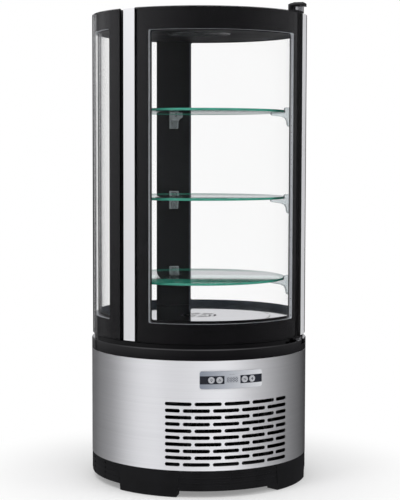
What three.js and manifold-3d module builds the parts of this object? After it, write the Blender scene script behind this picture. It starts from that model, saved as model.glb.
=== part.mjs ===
// Round glass display cabinet, refrigerated, on a drum-shaped steel base.
// Lengths are in millimetres and angles in degrees. The cabinet stands on z = 0 round the upright Z axis and its
// front faces -Y. An angle goes round that axis from the front and grows towards the right-hand side, +X.

import * as THREE from 'three';
import { mergeVertices } from 'three/addons/utils/BufferGeometryUtils.js';
import Module from 'manifold-3d';

const wasm = await Module();
wasm.setup();

// Clearances and facets
const fitGap = 0.3;
const cutOverrun = 6;
const bayCount = 3;
const facetsPerBay = 16;
const rodSides = 16;
const pinSides = 12;
const roundSegments = 6;
const cornerSegments = 2;

// Base drum: plinth, sheet metal and the black ring on top
const baseRadius = 241;
const plinthHeight = 57;
const plinthDepth = 34;
const plinthWall = 4;
const footHeight = 13.5;
const footWidth = 150;
const footCount = 4;
const firstFootAngle = -46.4;
const sheetThickness = 1.2;
const ringHeight = 24;
const ringEdge = 2.5;
const recessHeight = 10;
const neckHeight = 41.7;
const neckWall = 10;
const lipDepth = 8;
const lipWall = 3;
const panThickness = 2;
const panFlange = 13;
const frontWrapAngle = 115;

// Air slots in the front wrap
const slotLength = 59.6;
const slotHeight = 7;
const slotBridge = 9;
const slotPitch = 14.3;
const slotRows = 10;
const slotFieldStart = -36.8;
const slotFieldEnd = 36.1;
const slotFieldBottom = 10;
const slotStaggerShare = 0.62;

// Rear cover louvres and mains inlet
const louvreLength = 70;
const louvreHeight = 8;
const louvrePitch = 22;
const louvreBridge = 24;
const louvreRows = 5;
const louvreColumns = 3;
const louvreFieldBottom = 68;
const inletWidth = 48;
const inletHeight = 28;
const inletDepth = 26;
const inletFlange = 3;
const inletWall = 5;
const inletCorner = 4;
const inletRise = 22;

// Control panel
const panelWidth = 139;
const panelHeight = 37;
const panelThickness = 1.7;
const panelCorner = 8;
const panelBorder = 5;
const panelOpeningCorner = 4;
const panelAngle = -1.5;
const panelDrop = 22;
const displayWidth = 26;
const displayHeight = 12;
const displayCorner = 1.5;
const buttonRadius = 6.8;
const buttonPitch = 17.5;
const buttonInset = 8;
const buttonProud = 1.6;
const buttonTravel = 1.5;
const buttonCollar = 1.5;
const buttonCollarThickness = 1;
const controllerDepth = 24;
const controllerFlange = 3;

// Glass
const glassInset = 2;
const glassThickness = 4;
const cavityDepth = 8;
const sealDepth = 3;
const sealWidth = 9.5;
const sealInset = 3.5;
const paneHeight = 704;
const spacerInset = 2;
const innerGlassInset = 3;
const hingeAngle = 54.2;
const handleAngle = -56.7;
const rearStripAngle = 178.6;
const stripWidth = 30.7;
const stripProud = 1.6;
const stripWall = 1.8;
const stripInset = 1.5;
const fingerGap = 12.5;

// Cabin
const floorThickness = 3;
const roofDrop = 39;
const roofStep = 5;
const roofEdge = 3;
const pillarWidth = 80;
const pillarAngle = 58.7;
const pillarDepth = 7.4;
const pillarClearance = 0.8;
const pillarWall = 1.5;
const shelfThickness = 5;
const shelfClearance = 19.7;
const shelfEdge = 0.8;
const shelfHeightShares = [0.134, 0.42, 0.723];
const lampRadius = 70;
const lampThickness = 7;

// Shelf brackets, with the side view's outline as shares of the reach from the pillar and of the drop below the shelf
const bracketWidth = 19;
const bracketReach = 49.5;
const bracketDrop = 40.5;
const bracketLip = 10.5;
const bracketLipCorner = 4;
const bracketUnderShares = [
  [0.97, 0],
  [1, 0.075],
  [0.98, 0.17],
  [0.91, 0.22],
  [0.5, 0.3],
  [0.36, 0.4],
  [0.28, 0.6],
  [0.26, 0.84],
  [0.22, 0.96],
  [0.14, 1],
];
const hookWidth = 10;
const hookHeight = 6;
const hookDepth = 4.4;

// Door hinges
const hingeSetback = 12;
const knuckleRadius = 11;
const hingePinRadius = 4;
const leafThickness = 4;
const leafLength = 56;
const topKnuckleHeight = 15.4;
const topBracketWidth = 26;
const topBracketPlate = 6;
const topBracketLeg = 9;
const topBracketFoot = 17;
const topBracketReach = 14.5;
const topBracketSlope = 4.5;
const bottomBracketPlate = 2;
const knuckleClearance = 1.2;
const swingClearance = 0.8;
const notchDepth = 10;

// Refrigeration in the machine space
const compressorRadius = 62;
const compressorHeight = 150;
const compressorShoulder = 22;
const compressorDome = 6;
const compressorSetback = 30;
const compressorAngle = 128;
const compressorFoot = 12;
const compressorPlate = 3;
const compressorPlateMargin = 8;
const compressorHeadroom = 37.1;
const condenserWidth = 180;
const condenserHeight = 130;
const condenserDepth = 26;
const condenserSetback = 58;
const condenserGaps = 12;
const coilRim = 8;
const coilFin = 1.6;
const shroudSize = 140;
const shroudPlate = 4;
const shroudGap = 0.6;
const shroudArm = 8;
const fanHub = 20;
const fanBlades = 5;
const bladeThickness = 1.8;
const bladeChord = 15;
const bladePitch = 32;
const shroudRim = 13;
const condenserFanDepth = 16;
const fanClearance = 5;
const fanEndGap = 1;
const shaftRadius = 3;
const shaftLength = 8;
const shaftClearance = 0.6;
const condenserMotorRadius = 22;
const condenserMotorLength = 38;

// Insulated tub under the cabin floor
const tubWall = 18;
const tubDepth = 77;
const evaporatorWidth = 200;
const evaporatorHeight = 42;
const evaporatorDepth = 56;
const evaporatorSetback = 62;
const evaporatorGaps = 14;
const cabinMotorRadius = 20;
const cabinMotorLength = 22;
const cabinFanTip = 46;
const cabinFanDepth = 12;
const grilleInner = 12;
const grilleRib = 6;
const grilleRings = 3;
const grilleSectors = 6;
const returnSlotSetback = 26;
const returnSlotWidth = 9;
const returnSlotCount = 12;
const returnSlotAngle = 20;

// Heights worked out from the sizes above
const sheetBottom = plinthHeight + fitGap;
const panTop = sheetBottom + panThickness;
const machineFloor = panTop + fitGap;
const tubBottom = machineFloor + compressorFoot + compressorPlate + compressorHeight + compressorHeadroom;
const floorBottom = tubBottom + tubWall + tubDepth + fitGap;
const floorTop = floorBottom + floorThickness;
const neckTop = floorBottom - fitGap;
const ringTop = neckTop - neckHeight;
const wrapTop = ringTop - ringHeight;
const sheetTop = wrapTop - fitGap;
const paneBottom = ringTop + recessHeight;
const rimHeight = paneBottom + paneHeight;
const roofBottom = rimHeight - roofDrop;
const roofTop = rimHeight - roofStep;
const panelCentre = wrapTop - panelDrop - panelHeight / 2;
const inletCentre = plinthHeight + inletRise + inletHeight / 2;
const shelfUndersides = shelfHeightShares.map((share) => floorTop + share * (roofBottom - floorTop));

// Radii worked out from the sizes above
const wrapInner = baseRadius - sheetThickness;
const panelInner = baseRadius + fitGap;
const panelOuter = panelInner + panelThickness;
const glassRadius = baseRadius - glassInset;
const cavityOuter = glassRadius - glassThickness;
const cavityInner = cavityOuter - cavityDepth;
const innerGlassRadius = cavityInner - glassThickness;
const sealOuter = innerGlassRadius - fitGap;
const sealInner = sealOuter - sealDepth;
const frameRadius = sealInner - fitGap;
const neckInner = frameRadius - neckWall;
const pillarFace = frameRadius - pillarDepth;
const shelfRadius = pillarFace - shelfClearance;
const hingeRadius = glassRadius - hingeSetback;
const tubInner = neckInner - fitGap - tubWall;

// Angles worked out from the sizes above
const facetAngle = 360 / (bayCount * facetsPerBay);
const bayAngle = 360 / bayCount;
const stripHalf = arcAngle(stripWidth, glassRadius) / 2;

// The door's seal ends this far round from the hinge, so that it swings past the outer corner of the strip there
const swingReach = Math.hypot(stripWidth / 2, glassRadius + stripProud - hingeRadius) + swingClearance;
const swingAngle = arcAngle(Math.sqrt(swingReach ** 2 - (hingeRadius - sealOuter) ** 2), sealOuter);

// The panes in turn: the angle of the strip beside each one, and the borders round its window, which are beside the
// strip, beside the finger gap, at the top and at the bottom
const paneBorders = [
  { name: 'front_door', strip: handleAngle, stripSide: 34.2, gapSide: 26.9, top: 47, bottom: 44 },
  { name: 'right_pane', strip: hingeAngle, stripSide: 34.2, gapSide: 18.4, top: 39, bottom: 46 },
  { name: 'left_pane', strip: rearStripAngle, stripSide: 22.3, gapSide: 33.6, top: 39, bottom: 46 },
];

const finishes = {
  steel: { color: 0xc9c9cb, roughness: 0.32, metalness: 1 },
  aluminium: { color: 0xe2e1e5, roughness: 0.38, metalness: 1 },
  chrome: { color: 0xe6e6e8, roughness: 0.12, metalness: 1 },
  blackGloss: { color: 0x202023, roughness: 0.25, metalness: 0 },
  blackMatte: { color: 0x1b1b1d, roughness: 0.6, metalness: 0 },
  rubber: { color: 0x161617, roughness: 0.85, metalness: 0 },
  glass: { color: 0xdfeeea, roughness: 0.03, metalness: 0, transparent: true, opacity: 0.22 },
  shelfGlass: { color: 0xa8d8c8, roughness: 0.03, metalness: 0, transparent: true, opacity: 0.4 },
  bracket: { color: 0xb4bcc4, roughness: 0.35, metalness: 0, transparent: true, opacity: 0.75 },
  panel: { color: 0xa9abb2, roughness: 0.4, metalness: 0.3 },
  display: { color: 0x8d92a0, roughness: 0.2, metalness: 0 },
  button: { color: 0xd5d7db, roughness: 0.4, metalness: 0 },
  foam: { color: 0xe9e7e0, roughness: 0.7, metalness: 0 },
  galvanised: { color: 0x9fa2a5, roughness: 0.5, metalness: 0.8 },
  condenser: { color: 0x1f2022, roughness: 0.5, metalness: 0.3 },
  lamp: { color: 0x2a2b2e, roughness: 0.3, metalness: 0 },
};

function arcAngle(length, radius) {
  return THREE.MathUtils.radToDeg(length / radius);
}

function polar(radius, angle) {
  const turn = THREE.MathUtils.degToRad(angle);
  return new THREE.Vector2(radius * Math.sin(turn), -radius * Math.cos(turn));
}

// Curved walls are rings of straight facets, and all of them turn their facets at the same angles, so that one wall
// lies parallel to the next. This is the point of such a ring at an angle, at a corner or on a facet.
function facetPoint(radius, angle) {
  const middle = (Math.floor(angle / facetAngle) + 1 / 2) * facetAngle;
  const half = THREE.MathUtils.degToRad(facetAngle / 2);
  const offset = THREE.MathUtils.degToRad(angle - middle);
  return polar((radius * Math.cos(half)) / Math.cos(offset), angle);
}

function arcPoints(radius, from, to) {
  const shortest = facetAngle / 100;
  const angles = [from];
  const first = Math.ceil((from + shortest) / facetAngle);
  for (let corner = first; corner * facetAngle < to - shortest; corner += 1) {
    angles.push(corner * facetAngle);
  }
  angles.push(to);
  return angles.map((angle) => facetPoint(radius, angle));
}

function prism(outline, bottom, top) {
  const shape = new THREE.Shape(outline);
  const geometry = new THREE.ExtrudeGeometry(shape, { depth: top - bottom, bevelEnabled: false });
  return geometry.translate(0, 0, bottom);
}

// A curved wall between two radii and two angles
function sector(inner, outer, from, to, bottom, top) {
  return prism([...arcPoints(outer, from, to), ...arcPoints(inner, from, to).reverse()], bottom, top);
}

// A turned body. Its profile holds pairs of radius and height, and closes on itself where it is clear of the axis.
function turned(profile, sides = bayCount * facetsPerBay) {
  const points = profile.map(([radius, height]) => new THREE.Vector2(radius, height));
  if (profile[0][0] > 0) {
    points.push(points[0].clone());
  }
  return new THREE.LatheGeometry(points, sides).rotateX(Math.PI / 2);
}

function rod(radius, bottom, top, sides = rodSides) {
  return turned([[0, bottom], [radius, bottom], [radius, top], [0, top]], sides);
}

function roundedShape(width, height, corner) {
  const right = width / 2;
  const up = height / 2;
  const shape = new THREE.Shape();
  shape.absarc(right - corner, up - corner, corner, 0, Math.PI / 2);
  shape.absarc(corner - right, up - corner, corner, Math.PI / 2, Math.PI);
  shape.absarc(corner - right, corner - up, corner, Math.PI, 1.5 * Math.PI);
  shape.absarc(right - corner, corner - up, corner, 1.5 * Math.PI, 2 * Math.PI);
  return shape;
}

function circleShape(radius) {
  return new THREE.Shape().absarc(0, 0, radius, 0, 2 * Math.PI);
}

// A shape that faces outwards at an angle, run from one distance from the axis to another
function outwards(shape, from, to, angle, height, curveSegments = cornerSegments) {
  const geometry = new THREE.ExtrudeGeometry(shape, { depth: to - from, bevelEnabled: false, curveSegments });
  geometry.rotateX(Math.PI / 2).translate(0, -from, height);
  return geometry.rotateZ(THREE.MathUtils.degToRad(angle));
}

// A cutter through the base's sheet metal and whatever lies on it
function sheetCutter(shape, angle, height, curveSegments) {
  return outwards(shape, wrapInner - 2 * cutOverrun, panelOuter + cutOverrun, angle, height, curveSegments);
}

// A side view of pairs of distance from the axis and height, made as wide as asked, at the front of the axis
function radialPlate(profile, width) {
  const shape = new THREE.Shape(profile.map(([out, height]) => new THREE.Vector2(out, height)));
  const geometry = new THREE.ExtrudeGeometry(shape, { depth: width, bevelEnabled: false });
  const turn = new THREE.Matrix4().makeBasis(
    new THREE.Vector3(0, -1, 0),
    new THREE.Vector3(0, 0, 1),
    new THREE.Vector3(-1, 0, 0),
  );
  return geometry.applyMatrix4(turn).translate(width / 2, 0, 0);
}

function toSolid(geometry) {
  const bare = geometry.clone();
  bare.deleteAttribute('normal');
  bare.deleteAttribute('uv');
  const merged = mergeVertices(bare);
  const vertProperties = merged.attributes.position.array;
  const triVerts = Uint32Array.from(merged.index.array);
  return new wasm.Manifold(new wasm.Mesh({ numProp: 3, vertProperties, triVerts }));
}

function toGeometry(solid) {
  const { vertProperties, triVerts } = solid.getMesh();
  const geometry = new THREE.BufferGeometry();
  geometry.setAttribute('position', new THREE.BufferAttribute(vertProperties, 3));
  geometry.setIndex(new THREE.BufferAttribute(triVerts, 1));
  return geometry.toNonIndexed();
}

function join(...geometries) {
  return toGeometry(geometries.map(toSolid).reduce((whole, next) => whole.add(next)));
}

function cut(geometry, ...cutters) {
  return toGeometry(cutters.map(toSolid).reduce((whole, next) => whole.subtract(next), toSolid(geometry)));
}

function common(geometry, other) {
  return toGeometry(toSolid(geometry).intersect(toSolid(other)));
}

function piece(name, geometry, finish) {
  const closed = toGeometry(toSolid(geometry));
  closed.computeVertexNormals();
  const mesh = new THREE.Mesh(closed, new THREE.MeshStandardMaterial(finish));
  mesh.name = name;
  return mesh;
}

function turnedGroup(angle, ...children) {
  const group = new THREE.Group();
  group.rotation.z = THREE.MathUtils.degToRad(angle);
  group.add(...children);
  return group;
}

// A curved wall with a window, its four borders given as lengths
function curvedFrame({ inner, outer, from, to, bottom, top, fromSide, toSide, low, high }) {
  const window = sector(
    inner - cutOverrun,
    outer + cutOverrun,
    from + arcAngle(fromSide, glassRadius),
    to - arcAngle(toSide, glassRadius),
    bottom + low,
    top - high,
  );
  return cut(sector(inner, outer, from, to, bottom, top), window);
}

// Base

function plinthRing() {
  const inner = baseRadius - plinthDepth;
  const skirt = turned([
    [baseRadius - plinthWall, footHeight],
    [baseRadius, footHeight],
    [baseRadius, plinthHeight],
    [inner, plinthHeight],
    [inner, plinthHeight - plinthWall],
    [baseRadius - plinthWall, plinthHeight - plinthWall],
  ]);
  const half = arcAngle(footWidth, baseRadius) / 2;
  const feet = [];
  for (let i = 0; i < footCount; i += 1) {
    const centre = firstFootAngle + (i * 360) / footCount;
    feet.push(sector(inner, baseRadius, centre - half, centre + half, 0, plinthHeight));
  }
  return piece('plinth_ring', join(skirt, ...feet), finishes.blackMatte);
}

function basePan() {
  const outer = wrapInner - fitGap;
  const profile = [
    [0, sheetBottom],
    [outer, sheetBottom],
    [outer, sheetBottom + panFlange],
    [outer - panThickness, sheetBottom + panFlange],
    [outer - panThickness, panTop],
    [0, panTop],
  ];
  return piece('base_pan', turned(profile), finishes.galvanised);
}

// Slots laid like bricks: every other row starts with a short one, and all rows end at the edges of the field
function frontSlots() {
  const cutters = [];
  const full = arcAngle(slotLength, baseRadius);
  const pitch = full + arcAngle(slotBridge, baseRadius);
  const shortest = arcAngle(2 * slotHeight, baseRadius);
  for (let row = 0; row < slotRows; row += 1) {
    const height = plinthHeight + slotFieldBottom + slotHeight / 2 + row * slotPitch;
    const stagger = row % 2 === 0 ? (slotStaggerShare - 1) * pitch : 0;
    for (let from = slotFieldStart + stagger; from < slotFieldEnd; from += pitch) {
      const start = Math.max(from, slotFieldStart);
      const end = Math.min(from + full, slotFieldEnd);
      if (end - start > shortest) {
        const length = THREE.MathUtils.degToRad(end - start) * baseRadius;
        const slot = roundedShape(length, slotHeight, slotHeight / 2);
        cutters.push(sheetCutter(slot, (start + end) / 2, height, 1));
      }
    }
  }
  return cutters;
}

function frontWrap() {
  const opening = roundedShape(panelWidth - 2 * panelBorder, panelHeight - 2 * panelBorder, panelOpeningCorner);
  const sheet = sector(wrapInner, baseRadius, -frontWrapAngle, frontWrapAngle, sheetBottom, sheetTop);
  const wrap = cut(sheet, sheetCutter(opening, panelAngle, panelCentre), ...frontSlots());
  return piece('steel_front_wrap', wrap, finishes.steel);
}

function rearCover() {
  const edge = frontWrapAngle + arcAngle(fitGap, wrapInner);
  const sheet = sector(wrapInner, baseRadius, edge, 360 - edge, sheetBottom, sheetTop);
  const hole = roundedShape(inletWidth + 2 * fitGap, inletHeight + 2 * fitGap, inletCorner + fitGap);
  const cutters = [sheetCutter(hole, 180, inletCentre)];
  const louvre = roundedShape(louvreLength, louvreHeight, louvreHeight / 2);
  const step = arcAngle(louvreLength + louvreBridge, baseRadius);
  for (let row = 0; row < louvreRows; row += 1) {
    for (let column = 0; column < louvreColumns; column += 1) {
      const angle = 180 + (column - (louvreColumns - 1) / 2) * step;
      const height = plinthHeight + louvreFieldBottom + row * louvrePitch;
      cutters.push(sheetCutter(louvre, angle, height, 1));
    }
  }
  return piece('rear_service_cover', cut(sheet, ...cutters), finishes.galvanised);
}

// The inlet's socket is open to the rear and its flange lies on the cover
function powerInlet() {
  const seat = baseRadius + fitGap;
  const bodyShape = roundedShape(inletWidth, inletHeight, inletCorner);
  const flangeShape = roundedShape(inletWidth + 2 * inletFlange, inletHeight + 2 * inletFlange, inletCorner);
  const pocketShape = roundedShape(inletWidth - 2 * inletWall, inletHeight - 2 * inletWall, inletCorner);
  const body = outwards(bodyShape, seat - inletDepth, seat + inletFlange, 180, inletCentre);
  const flange = outwards(flangeShape, seat, seat + inletFlange, 180, inletCentre);
  const pocket = outwards(pocketShape, seat - inletDepth + inletWall, seat + cutOverrun, 180, inletCentre);
  return piece('power_inlet', cut(join(body, flange), pocket), finishes.blackMatte);
}

// The ring carries the neck that stands inside the glass, and a notch for the door's lower knuckle
function topRing() {
  const lipOuter = wrapInner - fitGap;
  const profile = [
    [neckInner, wrapTop],
    [lipOuter - lipWall, wrapTop],
    [lipOuter - lipWall, wrapTop - lipDepth],
    [lipOuter, wrapTop - lipDepth],
    [lipOuter, wrapTop],
    [baseRadius, wrapTop],
    [baseRadius, ringTop - ringEdge],
    [baseRadius - ringEdge, ringTop],
    [frameRadius, ringTop],
    [frameRadius, neckTop],
    [neckInner, neckTop],
  ];
  const notchBottom = ringTop - notchDepth;
  const notchTop = paneBottom + fitGap;
  const well = rod(knuckleRadius + knuckleClearance, notchBottom, notchTop).translate(0, -hingeRadius, 0);
  const mouth = outwards(
    roundedShape(2 * knuckleRadius + knuckleClearance, notchTop - notchBottom, fitGap),
    hingeRadius,
    baseRadius + cutOverrun,
    0,
    (notchBottom + notchTop) / 2,
  );
  const notch = join(well, mouth).rotateZ(THREE.MathUtils.degToRad(hingeAngle));
  return piece('base_top_ring', cut(turned(profile), notch), finishes.blackGloss);
}

// Control panel: a plate on the steel wrap, with a window for the display and a hole for each button

function buttonAngles() {
  const near = displayWidth / 2 + buttonInset + buttonRadius;
  const far = near + buttonPitch;
  return [-far, -near, near, far].map((reach) => panelAngle + arcAngle(reach, panelOuter));
}

function controlPanel() {
  const half = arcAngle(panelWidth, baseRadius);
  const blank = sector(
    panelInner,
    panelOuter,
    panelAngle - half,
    panelAngle + half,
    panelCentre - panelHeight,
    panelCentre + panelHeight,
  );
  const plate = common(blank, sheetCutter(roundedShape(panelWidth, panelHeight, panelCorner), panelAngle, panelCentre));
  const window = sheetCutter(roundedShape(displayWidth, displayHeight, displayCorner), panelAngle, panelCentre);
  const hole = circleShape(buttonRadius + fitGap);
  const holes = buttonAngles().map((angle) => sheetCutter(hole, angle, panelCentre, roundSegments));
  return piece('control_panel_plate', cut(plate, window, ...holes), finishes.panel);
}

function displayWindow() {
  const half = arcAngle(displayWidth, baseRadius);
  const shell = sector(
    wrapInner - fitGap,
    panelOuter - fitGap,
    panelAngle - half,
    panelAngle + half,
    panelCentre - displayHeight,
    panelCentre + displayHeight,
  );
  const outline = roundedShape(displayWidth - 2 * fitGap, displayHeight - 2 * fitGap, displayCorner);
  return piece('display_window', common(shell, sheetCutter(outline, panelAngle, panelCentre)), finishes.display);
}

// A button's collar stays behind the plate and its back has the travel free in front of the controller
function buttons() {
  const face = panelOuter + buttonProud;
  const collarBack = panelInner - buttonCollarThickness - buttonCollar;
  const cap = circleShape(buttonRadius);
  const collar = circleShape(buttonRadius + buttonCollar);
  return buttonAngles().map((angle, index) => {
    const stem = outwards(cap, collarBack, face, angle, panelCentre, roundSegments);
    const rim = outwards(collar, collarBack, collarBack + buttonCollarThickness, angle, panelCentre, roundSegments);
    return piece(`control_button_${index + 1}`, join(stem, rim), finishes.button);
  });
}

// The controller is held by two flanges that lie behind the steel, above and below the opening for the panel
function controllerBox() {
  const front = panelInner - buttonCollarThickness - buttonCollar - buttonTravel - fitGap;
  const back = front - controllerDepth;
  const half = arcAngle(panelWidth - 2 * panelBorder, baseRadius) / 2;
  const from = panelAngle - half;
  const to = panelAngle + half;
  const low = panelCentre - panelHeight / 2;
  const high = panelCentre + panelHeight / 2;
  const box = sector(back, front, from, to, low, high);
  const lower = sector(back, wrapInner - fitGap, from, to, low, low + controllerFlange);
  const upper = sector(back, wrapInner - fitGap, from, to, high - controllerFlange, high);
  return piece('controller_box', join(box, lower, upper), finishes.blackMatte);
}

// Cabin floor, insulated tub and what the tub holds

function insulatedTub() {
  const outer = neckInner - fitGap;
  const profile = [
    [0, tubBottom],
    [outer, tubBottom],
    [outer, neckTop],
    [tubInner, neckTop],
    [tubInner, tubBottom + tubWall],
    [0, tubBottom + tubWall],
  ];
  return piece('insulated_tub', turned(profile), finishes.foam);
}

// The floor plate has a round grille over the fan and a ring of slots where the air goes back
function cabinFloor() {
  const cutters = [];
  const low = floorBottom - cutOverrun;
  const high = floorTop + cutOverrun;
  const ringWidth = (cabinFanTip - grilleInner - grilleRings * grilleRib) / grilleRings;
  for (let ring = 0; ring < grilleRings; ring += 1) {
    const inner = grilleInner + ring * (ringWidth + grilleRib);
    const outer = inner + ringWidth;
    const half = 180 / grilleSectors - arcAngle(grilleRib, outer) / 2;
    for (let i = 0; i < grilleSectors; i += 1) {
      const centre = (i * 360) / grilleSectors;
      const ends = [centre - half, centre, centre + half];
      const outline = [
        ...ends.map((angle) => polar(outer, angle)),
        ...ends.map((angle) => polar(inner, angle)).reverse(),
      ];
      cutters.push(prism(outline, low, high));
    }
  }
  const slotOuter = tubInner - returnSlotSetback;
  const slotHalf = returnSlotAngle / 2;
  for (let i = 0; i < returnSlotCount; i += 1) {
    const centre = (i * 360) / returnSlotCount;
    cutters.push(sector(slotOuter - returnSlotWidth, slotOuter, centre - slotHalf, centre + slotHalf, low, high));
  }
  const plate = rod(frameRadius - fitGap, floorBottom, floorTop, bayCount * facetsPerBay);
  return piece('cabin_floor', cut(plate, ...cutters), finishes.steel);
}

// A block of fins: a frame with slots run through it from front to back
function finBlock(width, depth, height, gaps) {
  const inside = width - 2 * coilRim;
  const gap = (inside - (gaps - 1) * coilFin) / gaps;
  const cutters = [];
  for (let i = 0; i < gaps; i += 1) {
    const slot = new THREE.BoxGeometry(gap, depth + 2 * cutOverrun, height - 2 * coilRim);
    cutters.push(slot.translate(coilRim - width / 2 + gap / 2 + i * (gap + coilFin), 0, 0));
  }
  return cut(new THREE.BoxGeometry(width, depth, height), ...cutters);
}

function evaporator() {
  const fins = finBlock(evaporatorWidth, evaporatorDepth, evaporatorHeight, evaporatorGaps);
  const mesh = piece('evaporator_coil', fins, finishes.aluminium);
  mesh.position.y = evaporatorSetback + evaporatorDepth / 2;
  mesh.position.z = tubBottom + tubWall + fitGap + evaporatorHeight / 2;
  return mesh;
}

// A fan rotor that starts at z = 0 and is driven from below, by a shaft in its blind bore
function fanRotor(tip, depth) {
  const blades = [];
  const root = fanHub / 2;
  for (let i = 0; i < fanBlades; i += 1) {
    const blade = new THREE.BoxGeometry(tip - root, bladeThickness, Math.min(bladeChord, depth));
    blade.rotateX(THREE.MathUtils.degToRad(90 - bladePitch));
    blade.translate((tip + root) / 2, 0, depth / 2);
    blades.push(blade.rotateZ((2 * Math.PI * i) / fanBlades));
  }
  const body = common(join(rod(fanHub, 0, depth), ...blades), rod(tip, 0, depth));
  return cut(body, rod(shaftRadius + shaftClearance, -cutOverrun, shaftLength, pinSides));
}

// A fan motor that ends at z = 0, with its shaft reaching into the rotor's bore
function fanMotor(radius, length) {
  const shaftEnd = fanEndGap + shaftLength - shaftClearance;
  return join(rod(radius, -length, 0), rod(shaftRadius, -shaftLength, shaftEnd, pinSides));
}

function cabinFan() {
  const top = tubBottom + tubWall + fitGap + cabinMotorLength;
  const motor = piece('evaporator_fan_motor', fanMotor(cabinMotorRadius, cabinMotorLength), finishes.blackMatte);
  motor.position.z = top;
  const rotor = piece('evaporator_fan_rotor', fanRotor(cabinFanTip, cabinFanDepth), finishes.blackMatte);
  rotor.position.z = top + fanEndGap;
  return [motor, rotor];
}

// Machine space under the tub

function compressor() {
  const plateBottom = machineFloor + compressorFoot;
  const shellBottom = plateBottom + compressorPlate;
  const top = shellBottom + compressorHeight;
  const neck = compressorRadius - compressorShoulder;
  const shell = turned([
    [0, plateBottom],
    [neck, plateBottom],
    [compressorRadius, shellBottom + compressorShoulder],
    [compressorRadius, top - compressorShoulder],
    [neck, top - compressorDome],
    [0, top],
  ], rodSides);
  const side = 2 * (compressorRadius + compressorPlateMargin);
  const plate = new THREE.BoxGeometry(side, side, compressorPlate).translate(0, 0, plateBottom + compressorPlate / 2);
  const reach = side / 2 - compressorFoot;
  const feet = [[1, 1], [1, -1], [-1, -1], [-1, 1]].map(([right, back]) => (
    rod(compressorFoot, machineFloor, shellBottom, pinSides).translate(right * reach, back * reach, 0)
  ));
  const mesh = piece('compressor', join(shell, plate, ...feet), finishes.blackMatte);
  const centre = polar(wrapInner - compressorSetback - side / 2, compressorAngle);
  mesh.position.set(centre.x, centre.y, 0);
  mesh.rotation.z = THREE.MathUtils.degToRad(compressorAngle);
  return mesh;
}

function condenser() {
  const fins = finBlock(condenserWidth, condenserDepth, condenserHeight, condenserGaps);
  const mesh = piece('condenser_coil', fins, finishes.condenser);
  mesh.position.y = condenserSetback - wrapInner;
  mesh.position.z = machineFloor + condenserHeight / 2;
  return mesh;
}

// The shroud stands behind the condenser, and a collar on three arms holds the motor behind the rotor.
// Here z is the distance behind the shroud plate's middle.
function condenserFan() {
  const bore = shroudSize / 2 - shroudRim;
  const rotorFront = -shroudPlate / 2;
  const motorFront = rotorFront + condenserFanDepth + fanEndGap;
  const armFront = motorFront + shroudPlate;
  const collarOuter = condenserMotorRadius + fitGap + shroudPlate;
  const armStart = condenserMotorRadius + fitGap + shroudPlate / 2;
  const armEnd = bore + shroudArm / 2;
  const plate = cut(new THREE.BoxGeometry(shroudSize, shroudSize, shroudPlate), rod(bore, -shroudSize, shroudSize));
  const arms = [];
  for (let i = 0; i < bayCount; i += 1) {
    const arm = new THREE.BoxGeometry(armEnd - armStart, shroudArm, shroudPlate);
    arm.translate((armStart + armEnd) / 2, 0, armFront + shroudPlate / 2);
    const post = new THREE.BoxGeometry(shroudArm, shroudArm, armFront + shroudPlate);
    post.translate(armEnd, 0, (armFront + shroudPlate) / 2);
    const turn = (2 * Math.PI * i) / bayCount + Math.PI / 2;
    arms.push(arm.rotateZ(turn), post.rotateZ(turn));
  }
  const collar = cut(
    rod(collarOuter, armFront, armFront + shroudPlate),
    rod(condenserMotorRadius + fitGap, -shroudSize, shroudSize),
  );
  const shroud = piece('condenser_fan_shroud', join(plate, collar, ...arms), finishes.blackMatte);
  const motor = piece(
    'condenser_fan_motor',
    fanMotor(condenserMotorRadius, condenserMotorLength),
    finishes.blackMatte,
  );
  motor.rotation.x = Math.PI;
  motor.position.z = motorFront;
  const rotor = piece('condenser_fan_rotor', fanRotor(bore - fanClearance, condenserFanDepth), finishes.blackMatte);
  rotor.rotation.x = Math.PI;
  rotor.position.z = motorFront - fanEndGap;
  const group = new THREE.Group();
  group.add(shroud, motor, rotor);
  group.rotation.x = -Math.PI / 2;
  group.position.y = condenserSetback - wrapInner + condenserDepth / 2 + shroudGap + shroudPlate / 2;
  group.position.z = machineFloor + shroudSize / 2;
  return group;
}

// Cabin: pillars, brackets, shelves and roof

function pillar(name) {
  const half = pillarWidth / 2;
  const bottom = floorTop + fitGap;
  const top = roofBottom - fitGap;
  const outer = frameRadius - pillarClearance;
  const edge = arcAngle(pillarWidth, outer) / 2;
  const outline = [...arcPoints(outer, -edge, edge), new THREE.Vector2(half, -pillarFace)];
  outline.push(new THREE.Vector2(-half, -pillarFace));
  const near = pillarFace + pillarWall;
  const far = pillarFace + hookDepth + pillarClearance;
  const innerHalf = hookWidth + pillarWall;
  const hollow = [
    new THREE.Vector2(-innerHalf, -far),
    new THREE.Vector2(innerHalf, -far),
    new THREE.Vector2(innerHalf, -near),
    new THREE.Vector2(-innerHalf, -near),
  ];
  const cutters = [prism(hollow, bottom - cutOverrun, top + cutOverrun)];
  for (const height of shelfUndersides) {
    const slot = new THREE.BoxGeometry(hookWidth + 2 * fitGap, 2 * pillarWall + fitGap, hookHeight + 2 * fitGap);
    cutters.push(slot.translate(0, -pillarFace, height));
  }
  return piece(name, cut(prism(outline, bottom, top), ...cutters), finishes.blackMatte);
}

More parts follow.
